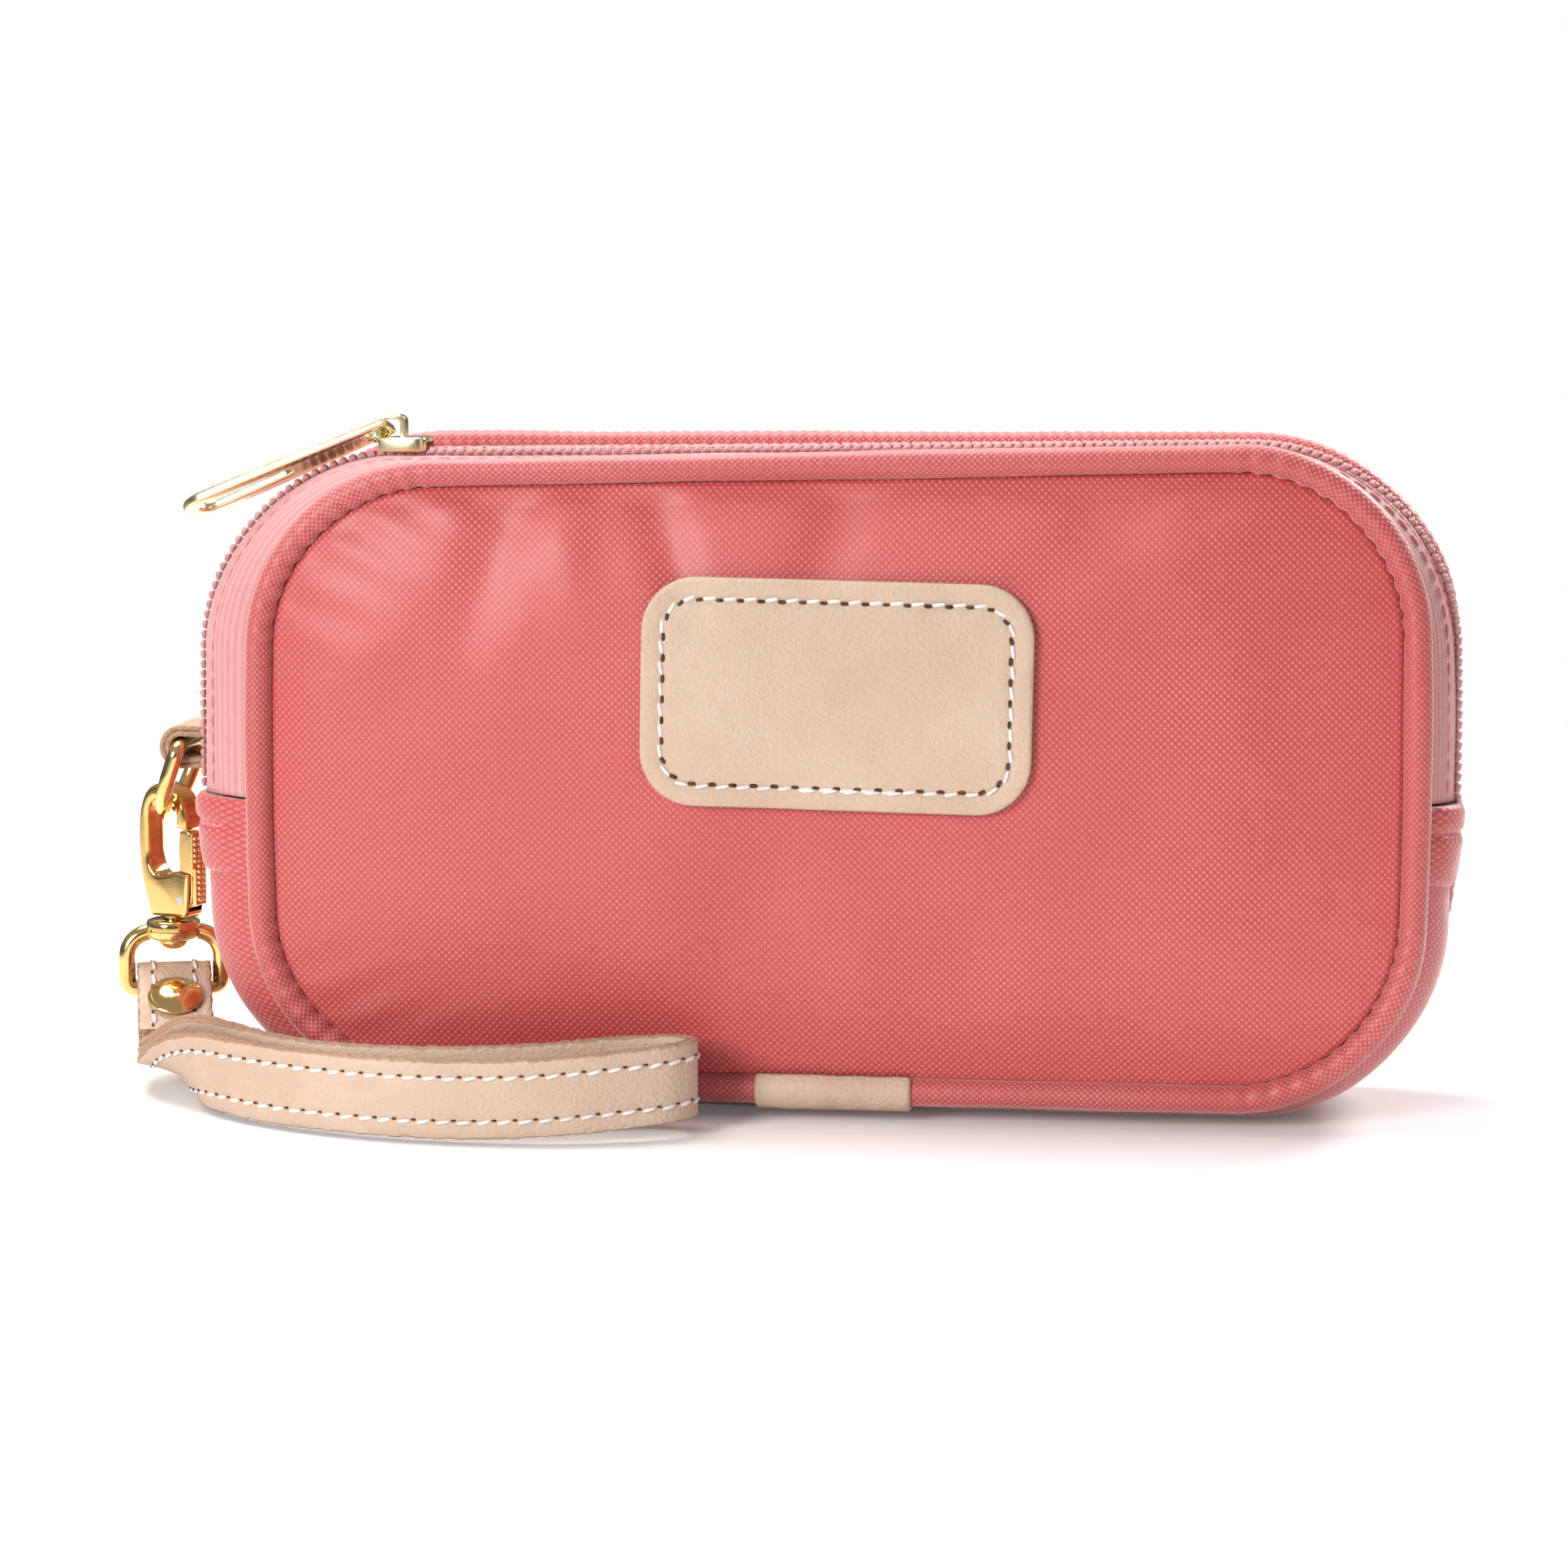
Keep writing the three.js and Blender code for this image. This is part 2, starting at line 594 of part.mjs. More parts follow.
function hookGroup() {
  const pin = round(GATE.pinR, HOOK.thick + 0.2, GATE.pivotX, GATE.pivotZ);
  const leaf = new THREE.Shape();
  leaf.moveTo(0.85, 1.4);
  leaf.lineTo(1.3, 1.4);
  leaf.quadraticCurveTo(1.9, 3.6, 1.6, 6);
  leaf.lineTo(1.2, 6);
  leaf.quadraticCurveTo(1.4, 3.6, 0.85, 1.4);
  const post = new THREE.LatheGeometry(
    [[0, -5.6], [1.4, -5.3], [2.3, -4.7], [2.6, -4.1], [1.4, -4.1], [1.4, -0.3], [0, -0.3]].map(
      ([r, z]) => new THREE.Vector2(r, z),
    ),
    16,
  ).rotateX(Math.PI / 2);
  const group = new THREE.Group().add(
    hookBody(),
    hookGate(),
    named("gate_pin", pin, steel()),
    named("gate_spring", plate(leaf, 2), steel()),
    named("swivel_post", post, gold()),
  );
  group.position.set(HOOK_X, HARDWARE_Y, HOOK.z);
  group.rotation.z = radians(HOOK.yaw);
  return group;
}

// A collar on the swivel post with a squared ring below it that holds the strap.
function swivelEye() {
  const { halfWidth, wire, barZ, armZ } = EYE;
  const corner = 1.6;
  const bar = barZ - armZ;
  const ring = new THREE.CurvePath();
  const add = (...p) => ring.add(new THREE.QuadraticBezierCurve3(...p.map(([x, z]) => vec(x, 0, z))));
  const line = (a, b) => ring.add(new THREE.LineCurve3(vec(a[0], 0, a[1]), vec(b[0], 0, b[1])));
  add([-3.3, 0], [-halfWidth + 0.3, -0.4], [-halfWidth, -4.4]);
  line([-halfWidth, -4.4], [-halfWidth, bar + corner]);
  add([-halfWidth, bar + corner], [-halfWidth, bar], [corner - halfWidth, bar]);
  line([corner - halfWidth, bar], [halfWidth - corner, bar]);
  add([halfWidth - corner, bar], [halfWidth, bar], [halfWidth, bar + corner]);
  line([halfWidth, bar + corner], [halfWidth, -4.4]);
  add([halfWidth, -4.4], [halfWidth - 0.3, -0.4], [3.3, 0]);
  const collar = new THREE.LatheGeometry(
    [[1.75, -1.2], [4, -1.2], [4.5, -0.6], [4.5, 1.5], [4.1, 2], [1.75, 2], [1.75, -1.2]].map(
      ([r, z]) => new THREE.Vector2(r, z),
    ),
    20,
  ).rotateX(Math.PI / 2);
  const eye = named("swivel_eye", join(tube(ring, wire, 8, 44), collar), gold());
  eye.position.set(HOOK_X, HARDWARE_Y, armZ);
  eye.rotation.z = radians(EYE.yaw);
  return eye;
}

// ---------- wrist strap ----------
// The strap leaves the eye's bar towards the front and down a slope. Frame at the bar:
// across is along the bar, ahead runs down the slope and lift is square to both.
const ACROSS = vec(Math.cos(radians(EYE.yaw)), Math.sin(radians(EYE.yaw)), 0);
const LEVEL = vec(ACROSS.y, -ACROSS.x, 0);
const AHEAD = LEVEL.clone()
  .multiplyScalar(Math.cos(radians(STRAP.slope)))
  .add(vec(0, 0, -Math.sin(radians(STRAP.slope))));
const LIFT = new THREE.Vector3().crossVectors(AHEAD, ACROSS).normalize();
const BAR = vec(HOOK_X, HARDWARE_Y, EYE.barZ);

const fromBar = (ahead, lift) =>
  BAR.clone().addScaledVector(AHEAD, ahead).addScaledVector(LIFT, lift);

// The strap's middle line with how far it has rolled from lying flat to standing on edge.
function strapStations() {
  const { flap, layerPitch, foldR } = STRAP;
  const stations = [];
  const add = (p, roll) => stations.push({ p, roll });
  for (const ahead of [flap, 11, 7, 3]) add(fromBar(ahead, layerPitch), 0);
  for (const turn of [70, 30, -10, -50, -85]) {
    add(fromBar(-foldR * Math.cos(radians(turn)) * 1.02, foldR * Math.sin(radians(turn))), 0);
  }
  for (const ahead of [3, 7, 11.5]) add(fromBar(ahead, -layerPitch), 0);
  const standing = STRAP.width / 2 + 0.7;
  // Out along the front, round the end of the loop and back behind.
  add(vec(-105.6, -10, 4.4), 0.2);
  add(vec(-102.2, -17.5, 5.4), 0.55);
  add(vec(-96, -25.5, standing), 0.85);
  add(vec(-86, -33, standing), 1);
  add(vec(-72, -39.3, standing), 1);
  add(vec(-56, -42.5, standing), 1);
  add(vec(-40, -42.3, standing + 0.5), 1);
  add(vec(-28, -39.5, standing + 1.4), 1);
  add(vec(-20, -35.8, standing + 2), 1);
  add(vec(-17.6, -31.4, standing + 2.2), 1);
  add(vec(-20.6, -27.8, standing + 2), 1);
  add(vec(-29, -27.6, standing + 1.4), 1);
  add(vec(-42, -30.2, standing + 0.5), 1);
  add(vec(-58, -32, standing), 1);
  add(vec(-74, -30.8, standing), 1);
  add(vec(-84, -26.6, standing + 0.2), 1);
  add(vec(-92, -20.2, standing + 0.5), 0.88);
  add(vec(-99.2, -15.4, 8.4), 0.58);
  add(vec(-104.6, -10.6, 6.7), 0.22);
  add(fromBar(14, -0.35), 0.03);
  add(fromBar(9, 0), 0);
  add(fromBar(5.2, 0), 0);
  return stations;
}

// Frames every so often along the strap: middle point, direction across and direction inwards.
function strapFrames(steps) {
  const stations = strapStations();
  const curve = new THREE.CatmullRomCurve3(stations.map((s) => s.p), false, "centripetal");
  const last = stations.length - 1;
  return Array.from({ length: steps + 1 }, (_, i) => {
    const t = i / steps;
    const seat = Math.min(Math.floor(t * last), last - 1);
    const roll = THREE.MathUtils.lerp(stations[seat].roll, stations[seat + 1].roll, t * last - seat);
    const along = curve.getTangent(t);
    const across = ACROSS.clone().multiplyScalar(1 - roll).add(vec(0, 0, -roll));
    across.addScaledVector(along, -across.dot(along)).normalize();
    const inward = new THREE.Vector3().crossVectors(along, across);
    return { middle: curve.getPoint(t), across, inward };
  });
}

// A flat strip following the strap, between two distances across it and two through it.
function strapStrip(frames, [left, right], [outside, inside]) {
  const corners = [[left, outside], [right, outside], [right, inside], [left, inside]];
  const place = (frame, [a, b]) =>
    frame.middle.clone().addScaledVector(frame.across, a).addScaledVector(frame.inward, b);
  return loft(frames.map((frame) => corners.map((c) => place(frame, c))), "strip");
}

function strapGroup() {
  const frames = strapFrames(STRAP.steps);
  const half = STRAP.width / 2;
  const near = GAP / 2;
  const far = near + STRAP.ply;
  const rivetAxis = new THREE.Quaternion().setFromUnitVectors(vec(0, 1, 0), LIFT);
  const rivetPlace = fromBar(RIVET_AT, 0);
  const along = (geometry) => geometry.applyQuaternion(rivetAxis).translate(...rivetPlace);
  const hole = along(new THREE.CylinderGeometry(1.6, 1.6, 14, 12));
  const ply = (range) => cut(strapStrip(frames, [-half, half], range), hole.clone());
  const sewn = frames.slice(...STRAP.sewn);
  const row = (a) => strapStrip(sewn, [a - 0.35, a + 0.35], [-far - 0.6, -far - GAP]);
  const stack = STRAP.layerPitch + far;
  const lathe = (profile) =>
    along(new THREE.LatheGeometry(profile.map(([r, y]) => new THREE.Vector2(r, y)), 16));
  const capFace = stack + 0.7;
  const cap = lathe([
    [0, capFace], [4.4, capFace], [4.5, capFace + 0.5], [3.2, capFace + 1.2], [0, capFace + 1.5],
  ]);
  const stem = lathe([
    [0, -stack - 1.5], [3.4, -stack - 1.4], [3.6, -stack - 0.7], [1.2, -stack - 0.7],
    [1.2, capFace - GAP], [0, capFace - GAP],
  ]);
  return [
    named("strap_outer_ply", ply([-far, -near]), leather()),
    named("strap_inner_ply", ply([near, far]), leather()),
    named("strap_thread_left", row(-STITCH_ROW), thread()),
    named("strap_thread_right", row(STITCH_ROW), thread()),
    named("rivet_cap", cap, gold()),
    named("rivet_post", stem, gold()),
  ];
}

// ---------- the whole wallet ----------
const wallet = new THREE.Group();
wallet.name = "wristlet_wallet";
wallet.add(...bodyPieces(), labelPatch(), pipingWrap(), sliderGroup());
wallet.add(ringTab(), dRing(), hookGroup(), swivelEye(), ...strapGroup());

export default wallet;
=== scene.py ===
"""Looks for the wristlet wallet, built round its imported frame.

Lengths are in millimetres until a mesh is made. Meshes, floor, lights and camera are in metres.
"""

import math
import random

import bmesh
import bpy
import numpy as np
from mathutils import Matrix, Vector, noise


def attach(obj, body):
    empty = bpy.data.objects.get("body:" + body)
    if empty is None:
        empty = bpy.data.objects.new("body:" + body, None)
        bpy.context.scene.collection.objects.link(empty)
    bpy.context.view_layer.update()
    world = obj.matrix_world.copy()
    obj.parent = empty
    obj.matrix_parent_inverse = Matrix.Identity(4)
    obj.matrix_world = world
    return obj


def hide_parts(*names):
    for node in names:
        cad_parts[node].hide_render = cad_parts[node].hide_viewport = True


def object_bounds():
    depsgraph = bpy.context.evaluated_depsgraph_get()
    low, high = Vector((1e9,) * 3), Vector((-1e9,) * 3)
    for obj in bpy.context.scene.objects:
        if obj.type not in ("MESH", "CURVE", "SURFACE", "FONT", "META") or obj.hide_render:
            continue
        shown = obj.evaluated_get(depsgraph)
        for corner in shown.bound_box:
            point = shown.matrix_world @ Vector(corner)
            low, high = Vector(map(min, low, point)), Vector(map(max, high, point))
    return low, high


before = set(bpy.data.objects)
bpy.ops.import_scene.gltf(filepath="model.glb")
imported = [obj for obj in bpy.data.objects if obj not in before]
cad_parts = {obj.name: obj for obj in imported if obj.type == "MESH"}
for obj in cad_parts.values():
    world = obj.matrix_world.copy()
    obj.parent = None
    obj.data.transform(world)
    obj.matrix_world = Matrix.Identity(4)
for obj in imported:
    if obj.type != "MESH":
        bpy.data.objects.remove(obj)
CAD_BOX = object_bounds()
scene = bpy.context.scene
MM = 0.001

# ---------- dimensions shared with the frame ----------
SEAM_Y = 18.5
EDGE_Y = SEAM_Y - 0.3
FLAT_Y = 9
ZIP_END_Z = 50
ZIP_START_Z = 50.4
BARREL = 0.02
FRONT = dict(cx=2.4, half=91, bottom=4.6, top=102.8, corner=27, lean=0.0243)
MIDDLE = dict(cx=-0.1, half=99.4, bottom=0, top=104.6, corner=31, lean=0.0151)
BACK = dict(cx=1.5, half=97.5, bottom=4.6, top=104.4, corner=30, lean=0.003)
PIPING_R = 2.2
PANEL_INSET = 2.6
PANEL_CROWN = 6
PANEL_HALF_T = 0.6
GUSSET_T = 1.2
TAPE_T = 0.8
PATCH = dict(width=60.7, height=35.5, corner=8.4, thick=1.8, x=4.4, z=67.9, turn=1)
WRAP = dict(x=3.4, length=24.7, inner=2.3, outer=3.1)
ZIP_Y = -7
ZIP_HALF_GAP = 0.65
COIL_PITCH = 1.6
TOPSTITCH_Y = 13.2
FOLD_REACH = 12.7
BARTACK_HALF = 15.5
SLIDER_X = -67
PULL = dict(length=36, end=4.6, slot=2.3, pivot_x=-2.6, pivot_z=4.65, drop=22, roll=16)
HARDWARE_Y = 6.3
TAB = dict(width=12.5, ply=1.9, inner=1.7, x=-106.5, z=55.2)
RING = dict(wire=1.3, half=7.9, drop=12.2, tilt=19)
HOOK = dict(x=-110, z=26.2, thick=4.6, yaw=-25)
EYE = dict(yaw=16, wire=1.4, half=7.75, bar_z=14.1, arm_z=23.6)
STRAP = dict(half=6, slope=31, flap=14.5, pitch=2.6, fold=3.1, near=0.08, far=1.15)
STITCH_ROW = 3.4
STITCH = dict(pitch=3.2, length=2.25, width=0.62, height=0.5, slant=0.16, jitter=0.06)
RIVET_AT = 7.2


# ---------- materials ----------
class Finish:
    """A material on a Principled shader, with short ways to add its nodes."""

    def __init__(self, name, **sockets):
        self.material = bpy.data.materials.new(name)
        self.material.use_nodes = True
        self.tree = self.material.node_tree
        self.shader = self.tree.nodes["Principled BSDF"]
        self.place = self.add("TexCoord", {}, out="Object")
        for key, value in sockets.items():
            self.shader.inputs[key.replace("_", " ")].default_value = value

    def put(self, target, value):
        if isinstance(value, bpy.types.NodeSocket):
            self.tree.links.new(value, target)
        else:
            target.default_value = value

    def add(self, kind, inputs, out=0, **settings):
        node = self.tree.nodes.new("ShaderNode" + kind)
        for key, value in settings.items():
            setattr(node, key, value)
        for key, value in inputs.items():
            self.put(node.inputs[key], value)
        return node.outputs[out]

    def weave_uv(self):
        return self.add("UVMap", {}, uv_map="weave")

    def noise(self, scale, detail, rough=0.5, vector=None):
        inputs = {"Vector": vector or self.place, "Scale": scale, "Detail": detail, "Roughness": rough}
        return self.add("TexNoise", inputs)

    def bands(self, vector, pitch, direction):
        """Smooth ridges, pitch apart in the units of vector."""
        inputs = {"Vector": vector, "Scale": math.pi / 10 / pitch}
        return self.add("TexWave", inputs, out="Fac", bands_direction=direction)

    def maths(self, operation, *values):
        node = self.tree.nodes.new("ShaderNodeMath")
        node.operation = operation
        for socket, value in zip(node.inputs, values):
            self.put(socket, value)
        return node.outputs[0]

    def spread(self, value, low, high, to_low=0.0, to_high=1.0):
        inputs = {"Value": value, "From Min": low, "From Max": high, "To Min": to_low, "To Max": to_high}
        return self.add("MapRange", inputs)

    def mix(self, share, a, b):
        node = self.tree.nodes.new("ShaderNodeMix")
        node.data_type = "RGBA"
        self.put(node.inputs[0], share)
        self.put(node.inputs[6], a if isinstance(a, bpy.types.NodeSocket) else (*a, 1))
        self.put(node.inputs[7], b if isinstance(b, bpy.types.NodeSocket) else (*b, 1))
        return node.outputs[2]

    def colour(self, value):
        self.put(self.shader.inputs["Base Color"], value)

    def roughness(self, value):
        self.put(self.shader.inputs["Roughness"], value)

    def bump(self, height, depth_mm, under=None):
        inputs = {"Height": height, "Distance": depth_mm * MM, "Strength": 1.0}
        if under is not None:
            inputs["Normal"] = under
        normal = self.add("Bump", inputs)
        self.put(self.shader.inputs["Normal"], normal)
        return normal


def canvas_finish(name, base, deep, pale, pitch=0.8):
    """Coated canvas: raised dots in diagonal rows with painted shade in the gaps between them, a soft sheen
    and uneven dye.
    """
    f = Finish(
        name, Specular_IOR_Level=0.55, Sheen_Weight=0.75, Sheen_Roughness=0.42,
        Sheen_Tint=(1.0, 0.86, 0.85, 1), Coat_Weight=0.6, Coat_Roughness=0.42,
    )
    diagonal = f.add("Mapping", {"Vector": f.weave_uv(), "Rotation": (0, 0, math.radians(45))})
    dots = f.maths("MULTIPLY", f.bands(diagonal, pitch, "X"), f.bands(diagonal, pitch, "Y"))
    cloud = f.noise(28, 3)
    fleck = f.noise(900, 2)
    dyed = f.mix(f.spread(cloud, 0.35, 0.7), base, pale)
    # Painted shade: the gaps between the raised dots take the deep colour.
    weave_with_painted_shade = f.mix(f.spread(dots, 0.02, 0.55), deep, dyed)
    f.colour(f.mix(f.spread(fleck, 0.62, 0.8, 0, 0.3), weave_with_painted_shade, pale))
    f.roughness(f.spread(dots, 0, 1, 0.62, 0.42))
    coarse = f.bump(cloud, 0.25)
    f.bump(dots, 0.14, coarse)
    return f.material


def tape_finish(name, base, deep):
    """Zip tape: fine ribs along it, crossed by a closer thread, with painted shade between them."""
    f = Finish(name, Sheen_Weight=0.25, Sheen_Roughness=0.5, Specular_IOR_Level=0.3)
    uv = f.weave_uv()
    ribs = f.bands(uv, 0.78, "Y")
    picks = f.bands(uv, 0.5, "X")
    cloth = f.maths("MULTIPLY", ribs, f.spread(picks, 0, 1, 0.6, 1))
    cloud = f.noise(60, 3)
    # Painted shade: the hollows between ribs and threads take the deep colour.
    weave_with_painted_shade = f.mix(f.spread(cloth, 0, 0.8), deep, base)
    f.colour(f.mix(f.spread(cloud, 0.3, 0.8, 0, 0.35), weave_with_painted_shade, deep))
    f.roughness(f.spread(cloth, 0, 1, 0.8, 0.6))
    f.bump(cloth, 0.1)
    return f.material


def coil_finish(name, base, deep):
    """Nylon teeth wound with sewing thread."""
    f = Finish(name, Sheen_Weight=0.2, Specular_IOR_Level=0.45)
    fibre = f.noise(1800, 3)
    cloud = f.noise(70, 2)
    f.colour(f.mix(f.spread(cloud, 0.3, 0.75), base, f.mix(f.spread(fibre, 0.3, 0.7), deep, base)))
    f.roughness(f.spread(fibre, 0.2, 0.8, 0.4, 0.65))
    f.bump(fibre, 0.08)
    return f.material


def leather_finish(name, base, deep, grain_mm=0.12, edge=False):
    """Vegetable-tanned leather: pebbled pores, drawn creases and handling marks."""
    f = Finish(name, Specular_IOR_Level=0.32, Subsurface_Weight=0.04, Subsurface_Scale=0.001)
    cloud = f.noise(45, 4, 0.6)
    mottle = f.noise(260, 3)
    fibre = f.noise(2600, 3, 0.65)
    pores = f.add("TexVoronoi", {"Vector": f.place, "Scale": 1500.0}, out="Distance")
    tone = f.mix(f.spread(cloud, 0.3, 0.75), base, deep)
    tone = f.mix(f.spread(mottle, 0.52, 0.78, 0, 0.45), tone, deep)
    f.colour(f.mix(f.spread(fibre, 0.5, 0.85, 0, 0.8 if edge else 0.25), tone, deep))
    f.roughness(f.spread(mottle, 0.3, 0.7, 0.8 if edge else 0.5, 0.95 if edge else 0.68))
    creases = f.bump(mottle, 0.12)
    porous = f.bump(pores, grain_mm, creases)
    f.bump(fibre, 0.22 if edge else 0.05, porous)
    return f.material


def thread_finish(name, base, deep):
    """Twisted thread, waxed and a little soiled."""
    f = Finish(name, Sheen_Weight=0.2, Specular_IOR_Level=0.4)
    twist = f.noise(3200, 2)
    soil = f.noise(160, 2)
    f.colour(f.mix(f.spread(soil, 0.4, 0.8), base, f.mix(f.spread(twist, 0.3, 0.7), deep, base)))
    f.roughness(f.spread(twist, 0.2, 0.8, 0.55, 0.8))
    f.bump(twist, 0.12)
    return f.material


def plated_finish(name, base, worn, rough, smudge=0.1):
    """Polished plating with smudges, fine scratches and a paler tone where it rubs."""
    f = Finish(name, Metallic=1.0)
    cloud = f.noise(220, 4)
    scratch = f.noise(900, 2, vector=f.add("Mapping", {"Vector": f.place, "Scale": (1, 1, 12)}))
    rubbed = f.add("NewGeometry", {}, out="Pointiness")
    tone = f.mix(f.spread(cloud, 0.35, 0.75, 0, 0.5), base, worn)
    f.colour(f.mix(f.spread(rubbed, 0.52, 0.62, 0, 0.7), tone, worn))
    f.roughness(f.spread(cloud, 0.3, 0.8, rough, rough + smudge))
    f.bump(scratch, 0.006)
    return f.material


def lining_finish(name, base, deep):
    """Plain woven lining, with painted shade between its threads."""
    f = Finish(name, Sheen_Weight=0.3)
    thread = 0.6 * MM
    cloth = f.maths("MULTIPLY", f.bands(f.place, thread, "X"), f.bands(f.place, thread, "Z"))
    cloud = f.noise(50, 3)
    # Painted shade: the gaps between the threads take the deep colour, and random patches also lean towards
    # it.
    f.colour(f.mix(f.spread(cloth, 0, 0.8), deep, f.mix(f.spread(cloud, 0.3, 0.7), base, deep)))
    f.roughness(f.spread(cloth, 0, 1, 0.9, 0.7))
    f.bump(cloth, 0.1)
    return f.material


def hole_shade_finish(name, base, deep):
    """Painted shade for a needle hole, worn by a small raised pellet."""
    f = Finish(name, Specular_IOR_Level=0.1)
    speck = f.noise(1500, 2)
    f.colour(f.mix(f.spread(speck, 0.3, 0.7), base, deep))
    f.roughness(f.spread(speck, 0, 1, 0.85, 1.0))
    return f.material


# The deep colour of the canvas finishes is painted shade, for the gaps between the raised dots.
CANVAS = canvas_finish("coated canvas", (0.6, 0.096, 0.09), (0.43, 0.032, 0.03), (0.65, 0.145, 0.137))
PIPING = canvas_finish("piping canvas", (0.59, 0.11, 0.103), (0.4, 0.038, 0.036), (0.66, 0.18, 0.17), 0.7)
# The tape's deep colour is painted shade between its ribs, and also a darker tone in random patches.
TAPE = tape_finish("zip tape", (0.61, 0.31, 0.3), (0.53, 0.23, 0.222))
COIL = coil_finish("zip coil", (0.56, 0.27, 0.26), (0.43, 0.15, 0.145))
LEATHER = leather_finish("natural leather", (0.58, 0.43, 0.325), (0.5, 0.35, 0.255))
RAW_EDGE = leather_finish("raw leather edge", (0.5, 0.33, 0.22), (0.34, 0.2, 0.125), 0.25, True)
THREAD = thread_finish("white thread", (0.78, 0.74, 0.73), (0.6, 0.52, 0.5))
PINK_THREAD = thread_finish("pink thread", (0.74, 0.27, 0.27), (0.5, 0.12, 0.12))
# Needle holes are raised dark pellets of painted shade.
NEEDLE_HOLE_SHADE = hole_shade_finish("needle hole", (0.13, 0.065, 0.04), (0.05, 0.025, 0.015))
GOLD = plated_finish("polished gold", (0.80, 0.50, 0.17), (0.93, 0.72, 0.38), 0.09)
PALE_BRASS = plated_finish("pale brass", (0.82, 0.72, 0.42), (0.92, 0.86, 0.62), 0.2)
STEEL = plated_finish("spring steel", (0.5, 0.5, 0.49), (0.65, 0.65, 0.64), 0.25)
# The lining's deep colour is painted shade between its threads, and also a darker tone in random patches.
LINING = lining_finish("lining", (0.62, 0.5, 0.38), (0.48, 0.37, 0.27))


# ---------- meshes ----------
WELD = 0.004


class Shape:
    """Quilts of quads in millimetres. Edges that meet are welded when it is made."""

    def __init__(self):
        self.points, self.faces, self.weave, self.kinds = [], [], [], []

    def grid(self, points, uv=None, kind=0):
        points = np.asarray(points, float)
        rows, columns = points.shape[:2]
        if uv is None:
            uv = np.zeros((rows, columns, 2))
        base = len(self.points)
        self.points.extend(points.reshape(-1, 3).tolist())
        flat = uv.reshape(-1, 2).tolist()
        for i in range(rows - 1):
            for j in range(columns - 1):
                a = i * columns + j
                ring = (a, a + 1, a + columns + 1, a + columns)
                self.faces.append([base + k for k in ring])
                self.weave.extend(flat[k] for k in ring)
                self.kinds.append(kind)
        return self

    def shell(self, outer, inner, uv=None, rim=0):
        """A sheet of two faces, closed along its four edges with material rim."""
        self.grid(outer, uv).grid(inner, uv)
        for edge in (np.s_[0], np.s_[:, 0], np.s_[-1], np.s_[:, -1]):
            strip = None if uv is None else np.stack([uv[edge], uv[edge]])
            self.grid(np.stack([outer[edge], inner[edge]]), strip, rim)
        return self

    def make(self, name, finishes, body, stands_for=(), slot=None, sharp=None):
        mesh = bpy.data.meshes.new(name)
        mesh.from_pydata((np.array(self.points) * MM).tolist(), [], self.faces)
        layer = mesh.uv_layers.new(name="weave")
        layer.data.foreach_set("uv", np.array(self.weave, np.float32).ravel())
        mesh.polygons.foreach_set("material_index", self.kinds)
        bm = bmesh.new()
        bm.from_mesh(mesh)
        bmesh.ops.remove_doubles(bm, verts=bm.verts, dist=WELD * MM)
        bmesh.ops.recalc_face_normals(bm, faces=bm.faces)
        bm.to_mesh(mesh)
        bm.free()
        return finish_piece(name, mesh, finishes, body, stands_for, sharp)


def finish_piece(name, mesh, finishes, body, stands_for, sharp):
    """Makes a mesh a piece of the object. Clearing its materials would also reset its faces' kinds."""
    obj = bpy.data.objects.new(name, mesh)
    scene.collection.objects.link(obj)
    if mesh.materials:
        mesh.materials.clear()
    for finish in finishes:
        mesh.materials.append(finish)
    mesh.shade_smooth()
    if sharp is not None:
        mesh.set_sharp_from_angle(angle=math.radians(sharp))
    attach(obj, body)
    if stands_for:
        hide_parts(*stands_for)
    return obj


def uv_grid(rows, columns):
    """Weave coordinates from a distance for each row and each column."""
    u, v = np.meshgrid(np.asarray(rows, float), np.asarray(columns, float), indexing="ij")
    return np.stack([u, v], axis=-1)


def arclength(points):
    steps = np.linalg.norm(np.diff(points, axis=0), axis=1)
    return np.concatenate([[0], np.cumsum(steps)])


def unit(vectors):
    return vectors / np.linalg.norm(vectors, axis=-1, keepdims=True)


def rough(points, scale, amount, seed=0.0):
    """Steady pseudo-random offsets for points, from smooth noise."""
    flat = np.asarray(points, float).reshape(-1, 3) * scale
    values = [noise.noise(Vector(p) + Vector((seed, seed, seed))) for p in flat]
    return amount * np.array(values).reshape(np.asarray(points).shape[:-1])


# ---------- the body's surfaces ----------
def arc(cx, cz, r, start, end):
    """Points round a centre, from one angle to another in degrees."""
    turn = np.radians(np.linspace(start, end, 40))
    return [(cx + r * math.cos(a), cz + r * math.sin(a)) for a in turn]


def corners(line):
    """The left and right sides of a line, the heights of its corners' centres and their radius."""
    left, right = line["cx"] - line["half"], line["cx"] + line["half"]
    r = line["corner"]
    return left, right, line["bottom"] + r, line["top"] - r, r


def lower_path(line):
    left, right, low, _, r = corners(line)
    path = [(left, ZIP_END_Z)] + arc(left + r, low, r, 180, 270)
    return path + arc(right - r, low, r, 270, 360) + [(right, ZIP_END_Z)]


def upper_path(line):
    left, right, _, high, r = corners(line)
    path = [(right, ZIP_START_Z)] + arc(right - r, high, r, 0, 90)
    return path + arc(left + r, high, r, 90, 180) + [(left, ZIP_START_Z)]


